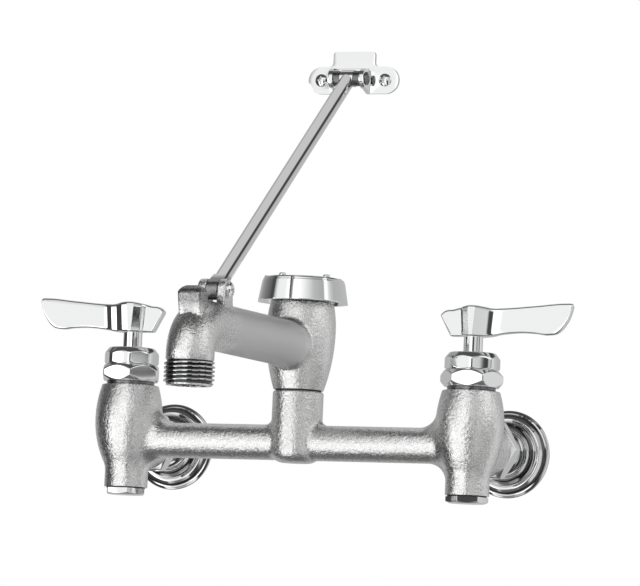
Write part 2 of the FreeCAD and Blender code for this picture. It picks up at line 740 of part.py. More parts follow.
def pail_hook():
    """Forward-leaning lug on the elbow that keeps a bucket's bail on the spout."""
    front = outlet_y - hook_depth / 2 - 1.6
    back = outlet_y + hook_depth / 2
    top = hook_top_z
    root = arm_height
    half = hook_width / 2
    side = [V(0, front, top - 4.6), V(0, front + 4.4, top), V(0, back - 3.2, top),
            (V(0, back - 0.94, top - 0.94), V(0, back, top - 3.2)),
            V(0, back + 2.2, root), V(0, front + 6.0, root), V(0, front + 2.6, top - 15.0)]
    block = Part.Face(closed_wire(side)).extrude(V(hook_width, 0, 0)).translated(V(-half, 0, 0))
    crown = hook_crown_r
    bend = crown * (1 - math.sqrt(0.5))
    arch = [V(-half, front - 2, root - 2), V(-half, front - 2, top - crown),
            (V(-half + bend, front - 2, top - bend), V(-half + crown, front - 2, top)),
            V(half - crown, front - 2, top),
            (V(half - bend, front - 2, top - bend), V(half, front - 2, top - crown)),
            V(half, front - 2, root - 2)]
    gate = Part.Face(closed_wire(arch)).extrude(V(0, hook_depth + 10, 0))
    hook = block.common(gate).removeSplitter()

    def front_corner(box):
        return box.XLength < 0.01 and box.YMax < front + 3.2 and box.ZLength > 5

    return hook.makeFillet(hook_edge_round, picked(hook, front_corner))


def brace_ear(x0):
    """One of the two ears that take the brace's pivot screw."""
    foot = arm_height + 4.0
    y = pivot_y
    side = [V(x0, y - ear_r, foot), V(x0, y - ear_r, pivot_z),
            (V(x0, y, pivot_z + ear_r), V(x0, y + ear_r, pivot_z)), V(x0, y + ear_r + 2.0, foot)]
    return Part.Face(closed_wire(side)).extrude(V(ear_thickness, 0, 0))


def arm_joins_barrel(box):
    near = box.YMax < valve_y - 8 and box.YMin > valve_y - spout_belly_r - 1
    return near and abs(box.Center.z - arm_height) < 4 + arm_r and box.XLength > 4


def rounded_ear(x0):
    ear = brace_ear(x0)
    return ear.makeFillet(ear_edge_round, picked(ear, lambda box: box.XLength < 0.01 and box.ZMax > arm_height + 5))


def spout_casting():
    arm = bent_tube(arm_r, outlet_height + hose_thread_length - 0.5)
    body = moved(spout_upright(), 0, valve_y).fuse(arm).removeSplitter()
    body = body.makeFillet(arm_fillet, picked(body, arm_joins_barrel))
    ears = [rounded_ear(ear_gap / 2), rounded_ear(-ear_gap / 2 - ear_thickness)]
    body = body.fuse([hose_outlet(), pail_hook()] + ears).removeSplitter()
    cavity = disc_z(spout_cavity_r, spout_floor_z, spout_neck_z + 1, 0, valve_y)
    socket = disc_z(riser_r + thread_gap, spout_foot_z - 1, spout_floor_z + 1, 0, valve_y)
    waterway = bent_tube(arm_bore_r, outlet_height - 1)
    screw_hole = disc_x(pivot_screw_r + running_gap, -ear_gap / 2 - ear_thickness - 1,
                        ear_gap / 2 + ear_thickness + 1, pivot_y, pivot_z)
    body = body.cut([cavity, socket, waterway, screw_hole])
    save("spout_casting", body.removeSplitter())


def riser_tube():
    """Threaded nipple and stand pipe: joins column and spout and ends in the water seat."""
    foot = column_top_z - riser_in_column
    tube = ring_z(riser_r, riser_r - riser_wall, foot, riser_top_z)
    save("riser_tube", moved(tube, 0, valve_y))
    seal = ring_z(spout_foot_r - 1.2, riser_r + 0.2, column_top_z + seat_gap,
                  column_top_z + seat_gap + joint_seal_thickness)
    save("spout_joint_seal", moved(seal, 0, valve_y))


# ---- vacuum breaker ---------------------------------------------------------------
def vent_insert():
    """Brass insert screwed into the neck: vent holes, float guide and the cap's stud."""
    outer = spout_cavity_r - thread_gap
    rim_foot = spout_neck_z + seat_gap
    flange_top = rim_foot + 2.2
    stud_r = 3.0
    body = turned([V(0, 0, vent_foot_z), V(outer - 1.2, 0, vent_foot_z),
                   V(outer, 0, vent_foot_z + 1.2), V(outer, 0, rim_foot),
                   V(vent_insert_flange_r, 0, rim_foot), V(vent_insert_flange_r, 0, flange_top),
                   V(5.4, 0, flange_top), V(5.4, 0, flange_top + 1.0), V(stud_r, 0, flange_top + 1.0),
                   V(stud_r, 0, cap_top_z - 2.6), V(0, 0, cap_top_z - 2.6)])
    cuts = [disc_z(float_stem_r + running_gap, vent_foot_z - 1, flange_top - 0.6)]
    for i in range(6):
        angle = math.radians(60 * i)
        cuts.append(disc_z(vent_hole_r, vent_foot_z - 1, flange_top + 1,
                           vent_circle_r * math.cos(angle), vent_circle_r * math.sin(angle)))
    return body.cut(cuts)


def float_poppet():
    """Moulded disc with a guide stem above and a crossed guide inside the riser."""
    foot = float_seat_z + float_gasket
    top = foot + float_thickness
    disc = disc_z(float_r, foot, top)
    stem = disc_z(float_stem_r, top - 0.5, vent_foot_z + 6.0)
    hub = disc_z(3.0, foot - float_gasket - 0.5, foot + 0.5)
    wing_r = riser_r - riser_wall - 0.3
    wings = []
    for angle in (0, 90):
        wing = Part.makeBox(2 * wing_r, 1.4, 9.0, V(-wing_r, -0.7, float_seat_z - 9.2))
        wing.rotate(V(), Z_AXIS, angle)
        wings.append(wing)
    return disc.fuse([stem, hub] + wings).removeSplitter()


def cap_plan(scale, z):
    """Five bowed faces that meet in five corners."""
    corner = cap_r * scale
    middle = (cap_r - cap_face_drop) * scale
    half = math.pi / cap_sides
    edges = []
    for i in range(cap_sides):
        a = math.radians(cap_turn) + 2 * half * i
        start, centre, end = (V(r * math.cos(t), r * math.sin(t), z)
                              for r, t in ((corner, a), (middle, a + half), (corner, a + 2 * half)))
        edges.append(arc(start, centre, end))
    return Part.Wire(edges)


def breaker_cap():
    """Polished cap: five leaning faces, a rounded crown, five nubs and a hollow underside."""
    body = Part.makeLoft([cap_plan(1.0, cap_foot_z), cap_plan(cap_taper, cap_top_z)], True, True)

    body = body.makeFillet(cap_round, picked(body, lambda box: box.ZMax > cap_top_z - 0.01))
    low = cap_r - cap_face_drop - cap_wall
    high = (cap_r - cap_face_drop) * cap_taper - cap_wall
    ceiling = cap_top_z - 2.2
    hollow = turned([V(0, 0, cap_foot_z - 1), V(low + 0.1, 0, cap_foot_z - 1),
                     V(high, 0, ceiling - 2.0), V(high - 2.0, 0, ceiling), V(0, 0, ceiling)])
    boss_foot = spout_neck_z + 2.2 + 1.0 + 2 * seat_gap
    boss = disc_z(5.4, boss_foot, ceiling + 0.5)
    stud_hole = disc_z(3.0 + thread_gap, boss_foot - 1, cap_top_z - 2.5)
    body = body.cut(hollow).fuse(boss).cut(stud_hole)
    nubs = []
    for i in range(cap_sides):
        angle = math.radians(cap_turn + 360 / cap_sides * i + nub_past_corner)
        nubs.append(moved(turned([V(0, 0, -1.4), V(nub_r, 0, -1.4), V(nub_r, 0, 0.5),
                                  dome(nub_r, 0.5, 0.9)]),
                          nub_circle_r * math.cos(angle), nub_circle_r * math.sin(angle), cap_top_z))
    return body.fuse(nubs).removeSplitter()


def vacuum_breaker():
    save("vent_insert", moved(vent_insert(), 0, valve_y))
    save("float_poppet", moved(float_poppet(), 0, valve_y))
    gasket = ring_z(float_r - 0.8, 3.05, float_seat_z, float_seat_z + float_gasket - seat_gap)
    save("float_gasket", moved(gasket, 0, valve_y))
    save("breaker_cap", moved(breaker_cap(), 0, valve_y))


# ---- brace -----------------------------------------------------------------------
def along_rod(distance, across=0.0):
    """A point on the rod's line, measured from its lower pivot."""
    c, s = math.cos(rod_angle), math.sin(rod_angle)
    return V(0, pivot_y + distance * c - across * s, pivot_z + distance * s + across * c)


def brace_rod():
    """Round rod with a flattened eye at the spout and a bored head at the wall."""
    direction = along_rod(1) - along_rod(0)
    start = ear_r + 1.0
    shaft = Part.makeCylinder(rod_r, rod_span - start - 2.0, along_rod(start), direction)
    half = rod_eye_thickness / 2
    eye = disc_x(rod_eye_r, -half, half, pivot_y, pivot_z)
    neck_side = [along_rod(0, rod_eye_r), along_rod(0, -rod_eye_r), along_rod(9.5, -rod_r),
                 along_rod(9.5, rod_r)]
    neck = Part.Face(Part.makePolygon(neck_side + [neck_side[0]]))
    neck = neck.extrude(V(rod_eye_thickness, 0, 0)).translated(V(-half, 0, 0))
    head = disc_x(tip_eye_r, -tip_half, tip_half, bracket_pin_y, bracket_pin_z)
    body = shaft.fuse([eye, neck, head])
    for x in (tip_half, -tip_half - 2):
        body = body.cut(Part.makeBox(2, 15, 15, V(x, bracket_pin_y - 7.5, bracket_pin_z - 7.5)))
    holes = [disc_x(pivot_screw_r + running_gap, -9, 9, pivot_y, pivot_z),
             disc_x(bracket_pin_r + running_gap, -9, 9, bracket_pin_y, bracket_pin_z)]
    return body.cut(holes).removeSplitter()


def pivot_screw():
    outer = ear_gap / 2 + ear_thickness
    shank = disc_x(pivot_screw_r, -outer - 0.4, outer + 1.0, pivot_y, pivot_z)
    head = turned([V(0, 0, 0), V(pivot_head_r, 0, 0), V(pivot_head_r, 0, 1.2),
                   dome(pivot_head_r, 1.2, pivot_head - 1.2)])
    head.rotate(V(), Y_AXIS, 90)
    head = moved(head, outer + seat_gap, pivot_y, pivot_z)
    return shank.fuse(head)


def bracket_plate():
    """Stamped plate with round ends, a tab above and a notch the ears fold out of."""
    z = bracket_pin_z
    half_l = plate_length / 2
    half_h = plate_height / 2
    end = half_l - half_h
    half_t = tab_width / 2
    top = z + half_h + tab_height
    blend = 2.6
    half_n = notch_width / 2
    notch_top = z + notch_above_pin
    steps = [V(-half_n, 0, z - half_h), V(-end, 0, z - half_h),
             (V(-half_l, 0, z), V(-end, 0, z + half_h)),
             V(-half_t - blend, 0, z + half_h),
             (V(-half_t - blend * 0.29, 0, z + half_h + blend * 0.29), V(-half_t, 0, z + half_h + blend)),
             V(-half_t, 0, top - 1.8), (V(-half_t + 0.53, 0, top - 0.53), V(-half_t + 1.8, 0, top)),
             V(half_t - 1.8, 0, top), (V(half_t - 0.53, 0, top - 0.53), V(half_t, 0, top - 1.8)),
             V(half_t, 0, z + half_h + blend),
             (V(half_t + blend * 0.29, 0, z + half_h + blend * 0.29), V(half_t + blend, 0, z + half_h)),
             V(end, 0, z + half_h), (V(half_l, 0, z), V(end, 0, z - half_h)),
             V(half_n, 0, z - half_h), V(half_n, 0, notch_top - 1.5),
             (V(half_n - 0.44, 0, notch_top - 0.44), V(half_n - 1.5, 0, notch_top)),
             V(-half_n + 1.5, 0, notch_top),
             (V(-half_n + 0.44, 0, notch_top - 0.44), V(-half_n, 0, notch_top - 1.5))]
    return Part.Face(closed_wire(steps)).extrude(V(0, -plate_thickness, 0))


def bracket_ear(x0):
    """Folded ear with a round nose about the pin."""
    z = bracket_pin_z
    y = bracket_pin_y
    nose = bracket_ear_reach + y
    low = z - plate_height / 2
    side = [V(x0, 0, z + notch_above_pin - 1.5), V(x0, 0, low), V(x0, -plate_thickness, low),
            V(x0, y + 1.0, z - nose), (V(x0, y - nose * 0.72, z - nose * 0.70), V(x0, y - nose, z)),
            (V(x0, y - nose * 0.72, z + nose * 0.70), V(x0, y, z + nose))]
    return Part.Face(closed_wire(side)).extrude(V(plate_thickness, 0, 0))


def wall_bracket():
    half_n = notch_width / 2
    plate = bracket_plate()
    ears = [bracket_ear(half_n - plate_thickness), bracket_ear(-half_n)]
    for x in (-half_n - 0.6, half_n):
        ears.append(Part.makeBox(0.6, plate_thickness, plate_height * 0.7,
                                 V(x, -plate_thickness, bracket_pin_z - plate_height / 2)))
    body = plate.fuse(ears).removeSplitter()
    cuts = [disc_x(bracket_pin_r + 0.02, -20, 20, bracket_pin_y, bracket_pin_z)]
    for x in (-bracket_screw_spacing / 2, bracket_screw_spacing / 2):
        cuts.append(disc_y(bracket_screw_r + 0.3, -20, 5, x, bracket_pin_z))
    return body.cut(cuts)


def bracket_pin():
    """Riveted pin; its heads bear on the ears' outsides."""
    outer = notch_width / 2
    pin = disc_x(bracket_pin_r, -outer - 0.5, outer + 0.5, bracket_pin_y, bracket_pin_z)
    heads = []
    for sign in (-1, 1):
        head = turned([V(0, 0, 0), V(3.7, 0, 0), V(3.7, 0, 0.5), dome(3.7, 0.5, 1.0)])
        head.rotate(V(), Y_AXIS, 90 * sign)
        heads.append(moved(head, sign * (outer + seat_gap), bracket_pin_y, bracket_pin_z))
    return pin.fuse(heads)


def pin_spacers():
    spacers = []
    inner = tip_half + seat_gap
    outer = notch_width / 2 - plate_thickness - seat_gap
    for x0, x1 in ((inner, outer), (-outer, -inner)):
        sleeve = disc_x(spacer_r, x0, x1, bracket_pin_y, bracket_pin_z)
        spacers.append(sleeve.cut(disc_x(bracket_pin_r + 0.02, x0 - 1, x1 + 1,
                                         bracket_pin_y, bracket_pin_z)))
    return Part.makeCompound(spacers)


def bracket_screws():
    screws = []
    for x in (-bracket_screw_spacing / 2, bracket_screw_spacing / 2):
        head = turned([V(0, 0, 0), V(bracket_head_r, 0, 0), V(bracket_head_r - 0.2, 0, 0.7),
                       dome(bracket_head_r - 0.2, 0.7, 1.3)])
        head.rotate(V(), X_AXIS, 90)
        head = moved(head, x, -plate_thickness - seat_gap, bracket_pin_z)
        neck = disc_y(bracket_screw_neck_r, -plate_thickness - 0.5, 1.0, x, bracket_pin_z)
        thread = disc_y(bracket_screw_r, 0.2, bracket_screw_length - 3, x, bracket_pin_z)
        tip = Part.makeCone(bracket_screw_r, 0.3, 3.0, V(x, bracket_screw_length - 3, bracket_pin_z), Y_AXIS)
        screws.append(head.fuse([neck, thread, tip]).removeSplitter())
    return Part.makeCompound(screws)


def brace():
    save("brace_rod", brace_rod())
    save("pivot_screw", pivot_screw())
    save("wall_bracket", wall_bracket())
    save("bracket_pin", bracket_pin())
    save("pin_spacers", pin_spacers())
    save("bracket_screws", bracket_screws())


os.makedirs("parts", exist_ok=True)
manifold_casting()
inlet_couplings()
valve_insides()
handles()
bottom_plugs()
spout_casting()
riser_tube()
vacuum_breaker()
brace()
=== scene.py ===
import math
import bmesh
import bpy
import numpy as np
from mathutils import Matrix, Vector


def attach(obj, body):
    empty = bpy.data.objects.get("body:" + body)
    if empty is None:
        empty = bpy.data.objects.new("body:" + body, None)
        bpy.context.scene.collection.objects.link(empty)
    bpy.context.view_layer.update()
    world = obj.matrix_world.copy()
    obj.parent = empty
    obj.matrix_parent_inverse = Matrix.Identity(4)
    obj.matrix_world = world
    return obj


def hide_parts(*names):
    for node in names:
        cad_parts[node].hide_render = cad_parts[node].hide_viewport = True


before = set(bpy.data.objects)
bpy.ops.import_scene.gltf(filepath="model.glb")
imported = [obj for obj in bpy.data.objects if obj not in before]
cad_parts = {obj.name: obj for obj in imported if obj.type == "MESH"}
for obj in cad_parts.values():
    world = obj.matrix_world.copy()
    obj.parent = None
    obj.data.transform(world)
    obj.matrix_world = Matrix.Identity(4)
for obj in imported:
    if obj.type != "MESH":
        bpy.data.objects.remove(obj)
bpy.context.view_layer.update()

# ---- camera -------------------------------------------------------------------
# A long lens 2.7 m away, 22 degrees to the right of straight on and a little below
# the faucet, tipped up 5 degrees and rolled slightly, as the photograph was taken.
yaw, pitch, roll = (math.radians(a) for a in (21.97, 5.01, 2.56))
eye = (1.0091, -2.5400, -0.1508)
focal_length_in_widths = 4848.3 / 640
forward = Vector((-math.sin(yaw) * math.cos(pitch), math.cos(yaw) * math.cos(pitch), math.sin(pitch)))
level_right = Vector((math.cos(yaw), math.sin(yaw), 0))
level_up = level_right.cross(forward)
right = level_right * math.cos(roll) + level_up * math.sin(roll)
up = level_up * math.cos(roll) - level_right * math.sin(roll)
camera = bpy.data.objects.new("camera", bpy.data.cameras.new("camera"))
bpy.context.scene.collection.objects.link(camera)
turn = Matrix((right, up, -forward)).transposed().to_4x4()
camera.matrix_world = Matrix.Translation(eye) @ turn
camera.data.sensor_width = 36.0
camera.data.lens = camera.data.sensor_width * focal_length_in_widths
camera.data.clip_end = 30
bpy.context.scene.camera = camera
bpy.context.scene.view_settings.view_transform = "Standard"


# ---- studio -------------------------------------------------------------------
# White background, a pale floor below the faucet, and a surround of soft panels with
# dark gaps between them that only shiny metal sees.
def shader(name, kind):
    """A new material with one shader node of the kind, joined to its output."""
    m = bpy.data.materials.new(name)
    m.use_nodes = True
    m.node_tree.nodes.clear()
    s = m.node_tree.nodes.new(kind)
    out = m.node_tree.nodes.new("ShaderNodeOutputMaterial")
    m.node_tree.links.new(s.outputs[0], out.inputs["Surface"])
    return m, m.node_tree, s


def math_node(tree, operation, *values):
    """A math node whose inputs are sockets or plain numbers."""
    n = tree.nodes.new("ShaderNodeMath")
    n.operation = operation
    for i, v in enumerate(values):
        if isinstance(v, (int, float)):
            n.inputs[i].default_value = v
        else:
            tree.links.new(v, n.inputs[i])
    return n.outputs[0]


def ramp(tree, value, stops):
    """A grey ramp with straight runs between (place, brightness) stops."""
    n = tree.nodes.new("ShaderNodeValToRGB")
    tree.links.new(value, n.inputs[0])
    keys = n.color_ramp.elements
    while len(keys) < len(stops):
        keys.new(0.5)
    for key, (place, level) in zip(keys, stops):
        key.position = place
        key.color = (level, level, level, 1)
    return n.outputs[0]


def blend(tree, factor, a, b):
    """Two brightness values or colour sockets mixed by a factor, as a colour."""
    n = tree.nodes.new("ShaderNodeMix")
    n.data_type = "RGBA"
    tree.links.new(factor, n.inputs["Factor"])
    for value, socket in ((a, n.inputs[6]), (b, n.inputs[7])):
        if isinstance(value, float):
            socket.default_value = (value, value, value, 1)
        else:
            tree.links.new(value, socket)
    return n.outputs[2]


def mapped(tree, value, low, high, to_low, to_high):
    """A value stretched from one range to another and held at its ends."""
    n = tree.nodes.new("ShaderNodeMapRange")
    tree.links.new(value, n.inputs["Value"])
    for socket, number in (("From Min", low), ("From Max", high), ("To Min", to_low), ("To Max", to_high)):
        n.inputs[socket].default_value = number
    return n.outputs[0]


def own_axes(tree):
    """X, Y and Z sockets of a point in the object's own coordinates."""
    axes = tree.nodes.new("ShaderNodeSeparateXYZ")
    tree.links.new(tree.nodes.new("ShaderNodeTexCoord").outputs["Object"], axes.inputs[0])
    return axes.outputs


world = bpy.data.worlds.new("studio")
bpy.context.scene.world = world
world.use_nodes = True
tree = world.node_tree
tree.nodes.clear()
path = tree.nodes.new("ShaderNodeLightPath")
seen = math_node(tree, "MAXIMUM", path.outputs["Is Camera Ray"], path.outputs["Is Glossy Ray"])
seen = math_node(tree, "MAXIMUM", seen, path.outputs["Is Transmission Ray"])
background = tree.nodes.new("ShaderNodeBackground")
background.inputs["Color"].default_value = (1, 1, 1, 1)
strength = tree.nodes.new("ShaderNodeMix")
tree.links.new(seen, strength.inputs["Factor"])
strength.inputs["A"].default_value = 0.75
strength.inputs["B"].default_value = 1.0
tree.links.new(strength.outputs["Result"], background.inputs["Strength"])
out = tree.nodes.new("ShaderNodeOutputWorld")
tree.links.new(background.outputs[0], out.inputs["Surface"])

floor_z = -0.42
bpy.ops.mesh.primitive_plane_add(size=12, location=(0, 0, floor_z))
floor = bpy.context.object
floor.name = "floor"
floor_paint, tree, s = shader("pale_floor", "ShaderNodeBsdfPrincipled")
s.inputs["Base Color"].default_value = (0.86, 0.86, 0.86, 1)
s.inputs["Roughness"].default_value = 0.9
floor.data.materials.append(floor_paint)
floor.visible_glossy = False

surround_r = 1.7
bpy.ops.mesh.primitive_uv_sphere_add(segments=48, ring_count=24, radius=surround_r, location=(0, -0.10, 0.06))
surround = bpy.context.object
surround.name = "studio_surround"
surround.visible_camera = False
surround.visible_diffuse = False
surround.visible_shadow = False
surround.visible_transmission = False
panels, tree, s = shader("studio_panels", "ShaderNodeEmission")
axes = own_axes(tree)
bearing = math_node(tree, "ARCTAN2", axes["X"], math_node(tree, "MULTIPLY", axes["Y"], -1.0))
bearing = math_node(tree, "ADD", math_node(tree, "DIVIDE", bearing, 2 * math.pi), 0.5)
height = math_node(tree, "ARCSINE", math_node(tree, "DIVIDE", axes["Z"], surround_r))
height = math_node(tree, "ADD", math_node(tree, "DIVIDE", height, math.pi), 0.5)
bright = 1.8


def by_bearing(levels):
    """Panels from (degrees, brightness) pairs; 0 is straight ahead of the faucet, + its right."""
    return ramp(tree, bearing, [(0.5 + degrees / 360, level / bright) for degrees, level in levels])


def by_height(low, high, start=0, end=1):
    """A mask over height, where 0 is straight down, 0.5 level and 1 straight up."""
    return mapped(tree, height, low, high, start, end)


table_level = by_bearing((
    (-180, 0.42), (-112, 0.42), (-106, 0.05), (-53, 0.05), (-49, 1.80), (-36, 1.62), (-33, 0.82), (-11, 0.82),
    (-7, 1.35), (9, 1.35), (14, 0.05), (32, 0.06), (37, 0.62), (62, 0.55), (65, 0.05), (70, 0.05), (73, 0.48),
    (91, 0.48), (95, 0.06), (101, 0.06), (105, 0.62), (134, 0.62), (150, 0.42), (180, 0.42)))
above_level = by_bearing((
    (-180, 0.45), (-150, 0.42), (-110, 0.18), (-85, 0.06), (-50, 0.06), (-38, 0.40), (-28, 0.80), (-14, 0.82),
    (-6, 1.15), (10, 1.05), (40, 0.45), (60, 0.36), (66, 1.0), (95, 0.95), (130, 0.40), (180, 0.45)))
around = blend(tree, by_height(0.539, 0.561), table_level, above_level)
from_front = math_node(tree, "ABSOLUTE", math_node(tree, "SUBTRACT", bearing, 0.5))
overhead = blend(tree, mapped(tree, from_front, 0.27, 0.33, 0, 1), 0.07 / bright, 0.50 / bright)
around = blend(tree, by_height(0.70, 0.78), around, overhead)
rear_right = mapped(tree, bearing, 0.78, 0.81, 0, 1)
rear_band = math_node(tree, "MULTIPLY", by_height(0.64, 0.68), by_height(0.76, 0.80, 1, 0))
around = blend(tree, math_node(tree, "MULTIPLY", rear_right, rear_band), around, 0.05 / bright)
around = blend(tree, by_height(0.17, 0.27, 1, 0), around, 0.12 / bright)
tree.links.new(around, s.inputs["Color"])
s.inputs["Strength"].default_value = 1.22 * bright
surround.data.materials.append(panels)


def soft_lamp(name, power, where, size=1.2, aim=(0, -0.08, 0.06)):
    """A square area lamp at a place, turned to the faucet's middle."""
    lamp = bpy.data.objects.new(name, bpy.data.lights.new(name, "AREA"))
    lamp.data.size = size
    lamp.data.energy = power
    bpy.context.scene.collection.objects.link(lamp)
    lamp.location = where
    lamp.rotation_euler = (Vector(aim) - Vector(where)).to_track_quat("-Z", "Y").to_euler()
    lamp.visible_camera = False
    lamp.visible_glossy = False


soft_lamp("key", 18, (-1.0, -1.6, 1.1))
soft_lamp("fill", 8, (1.5, -1.2, 0.6))


# ---- manifold casting ------------------------------------------------------------
# Bar, valve bodies, rear bosses and column are one sand casting in brass, tumbled and
# chrome plated as cast: a fine sparkling grain lies on low, soft lumps.
def group(name, inputs, outputs):
    """An empty node group with named number inputs and outputs."""
    g = bpy.data.node_groups.new(name, "ShaderNodeTree")
    for label, value in inputs:
        g.interface.new_socket(label, in_out="INPUT", socket_type="NodeSocketFloat").default_value = value
    for label, kind in outputs:
        g.interface.new_socket(label, in_out="OUTPUT", socket_type=kind)
    return g, g.nodes.new("NodeGroupInput"), g.nodes.new("NodeGroupOutput")


def noise(tree, scale, detail=2.0, roughness=0.5):
    """Smooth noise on the piece's own coordinates; scale is in bumps per metre."""
    n = tree.nodes.new("ShaderNodeTexNoise")
    n.inputs["Scale"].default_value = scale
    n.inputs["Detail"].default_value = detail
    n.inputs["Roughness"].default_value = roughness
    tree.links.new(tree.nodes.new("ShaderNodeTexCoord").outputs["Object"], n.inputs["Vector"])
    return n.outputs[0]


def plated(name, base, roughness):
    """A chrome-plated material with a Principled shader and a Bump node."""
    m, tree, s = shader(name, "ShaderNodeBsdfPrincipled")
    s.inputs["Base Color"].default_value = (*base, 1)
    s.inputs["Metallic"].default_value = 1.0
    s.inputs["Roughness"].default_value = roughness
    bump = tree.nodes.new("ShaderNodeBump")
    tree.links.new(bump.outputs[0], s.inputs["Normal"])
    return m, tree, s, bump


def relief(tree, bump, height, distance, strength=1.0):
    """Bumps of a height socket, over a distance in metres."""
    tree.links.new(height, bump.inputs["Height"])
    bump.inputs["Distance"].default_value = distance
    bump.inputs["Strength"].default_value = strength


def placed(tree, g, **values):
    """A node group placed in a tree with sockets or plain numbers on its inputs."""
    n = tree.nodes.new("ShaderNodeGroup")
    n.node_tree = g
    for label, value in values.items():
        if isinstance(value, (int, float)):
            n.inputs[label].default_value = value
        else:
            tree.links.new(value, n.inputs[label])
    return n


def dress(material, *names):
    """Gives CAD pieces their finish."""
    for name in names:
        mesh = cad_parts[name].data
        mesh.materials.clear()
        mesh.materials.append(material)


cast_grain, given, made = group("cast_grain", [("Grain", 1.0)],
                                [("Height", "NodeSocketFloat"), ("Roughness", "NodeSocketFloat"),
                                 ("Color", "NodeSocketColor")])
fine = noise(cast_grain, 1500, 2.0, 0.6)
coarse = noise(cast_grain, 640, 2.0, 0.5)
lumps = noise(cast_grain, 130, 1.0, 0.4)
sand = math_node(cast_grain, "ADD", math_node(cast_grain, "MULTIPLY", fine, 0.4), coarse)
tall = math_node(cast_grain, "ADD", sand, math_node(cast_grain, "MULTIPLY", lumps, 0.9))
cast_grain.links.new(math_node(cast_grain, "MULTIPLY", tall, given.outputs["Grain"]), made.inputs["Height"])
cast_grain.links.new(mapped(cast_grain, coarse, 0.3, 0.7, 0.22, 0.35), made.inputs["Roughness"])
shade = cast_grain.nodes.new("ShaderNodeMix")
shade.data_type = "RGBA"
cast_grain.links.new(mapped(cast_grain, fine, 0.32, 0.62, 0.0, 1.0), shade.inputs["Factor"])
shade.inputs["A"].default_value = (0.66, 0.66, 0.655, 1)
shade.inputs["B"].default_value = (0.88, 0.88, 0.875, 1)
cast_grain.links.new(shade.outputs["Result"], made.inputs["Color"])

rough_chrome, tree, s, bump = plated("sand_cast_chrome", (0.9, 0.9, 0.9), 0.3)
g = placed(tree, cast_grain, Grain=1.0)
grain_depth, grain_strength = 0.00036, 0.9
relief(tree, bump, g.outputs["Height"], grain_depth, grain_strength)
tree.links.new(g.outputs["Roughness"], s.inputs["Roughness"])
tree.links.new(g.outputs["Color"], s.inputs["Base Color"])
dress(rough_chrome, "manifold_casting")


# ---- inlet couplings -------------------------------------------------------------
# Brass unions: a polished hexagon nut on the casting's spigot, a supply shank, and a
# pressed escutcheon in four rings that slides on the shank up to the wall.
def softened(corners, step=0.4, per_arc=5):
    """Outline points in mm from corners (r, z, rounding): each corner becomes an arc, and
    the straight runs between are cut into even steps."""
    corner = np.array([c[:2] for c in corners], float)
    rounding = np.array([c[2] for c in corners], float)
    before = np.roll(corner, 1, 0) - corner
    after = np.roll(corner, -1, 0) - corner
    before /= np.linalg.norm(before, axis=1)[:, None]
    after /= np.linalg.norm(after, axis=1)[:, None]
    half = np.arccos(np.clip((before * after).sum(1), -0.9999, 0.9999)) / 2
    middle = before + after
    middle /= np.linalg.norm(middle, axis=1)[:, None]
    centre = corner + middle * (rounding / np.sin(half))[:, None]
    start = corner + before * (rounding / np.tan(half))[:, None]
    end = corner + after * (rounding / np.tan(half))[:, None]
    out = []
    for i in range(len(corners)):
        if rounding[i] > 0:
            t = np.linspace(0, 1, per_arc)[:, None]
            chord = (start[i] - centre[i]) * (1 - t) + (end[i] - centre[i]) * t
            out.append(centre[i] + chord / np.linalg.norm(chord, axis=1)[:, None] * rounding[i])
        else:
            out.append(corner[i:i + 1])
        nxt = (i + 1) % len(corners)
        run = start[nxt] - out[-1][-1]
        cuts = max(1, int(np.linalg.norm(run) / step))
        out.append(out[-1][-1] + run * np.arange(1, cuts)[:, None] / cuts)
    return np.concatenate(out)


def full_turn(count):
    """Even angles all the way round."""
    return np.linspace(0, 2 * np.pi, count, endpoint=False)


def around_flats(sides, turn, per_side=24):
    """Angles round a nut that crowd towards its corners: the flat's middle plus half a side
    times the sine of an even step."""
    even = np.sin(np.pi * (np.arange(per_side) / per_side - 0.5))
    middle = np.radians(turn) + 2 * np.pi / sides * np.arange(sides)
    return (middle[:, None] + np.pi / sides * even[None, :]).ravel()


def flat_limit(angle, sides, turn, across, bow, crisp=150.0):
    """Distance from the axis to a rounded polygon: half the width over the cosine to each
    flat's middle, blended by a high power; a buffed flat bows by bow mm at its middle."""
    away = angle[:, None] - np.radians(turn) - 2 * np.pi / sides * np.arange(sides)[None, :]
    away = (away + np.pi) % (2 * np.pi) - np.pi
    reach = across / 2 + bow * (1 - (away / (np.pi / sides)) ** 2)
    near = np.clip(np.cos(away), 1e-3, None) / reach * (across / 2)
    return across / 2 * (near ** crisp).sum(1) ** (-1 / crisp)


def carried_round(outline, angle, limit=None, crisp=150.0):
    """Grid of points: each outline point (r, z) is carried round the axis, and where a limit
    is given its radius is the blended smaller of the two, r (1 + (r / limit)^p)^(-1/p)."""
    r = np.repeat(outline[:, :1], len(angle), 1)
    if limit is not None:
        r = r * (1 + (r / limit[None, :]) ** crisp) ** (-1 / crisp)
    z = np.repeat(outline[:, 1:], len(angle), 1)
    return np.stack([r * np.cos(angle), r * np.sin(angle), z], -1)


def net(rows, columns, closed):
    """Four-sided faces of a grid whose columns meet, and whose rows meet if it is closed."""
    row = np.arange(rows if closed else rows - 1)[:, None]
    column = np.arange(columns)[None, :]
    beside = (column + 1) % columns
    above = (row + 1) % rows
    return np.stack([row * columns + column, row * columns + beside, above * columns + beside,
                     above * columns + column], -1).reshape(-1, 4)


def standing(grid, x, y, z=0.0):
    """Points in mm about an upright axis, moved to their place and turned to metres."""
    return (grid.reshape(-1, 3) + (x, y, z)) / 1000


def lying(grid, x, y):
    """Points in mm about an upright axis, laid down so that their top points into the wall."""
    p = grid.reshape(-1, 3)
    return np.stack([p[:, 0] + x, p[:, 2] + y, -p[:, 1]], 1) / 1000


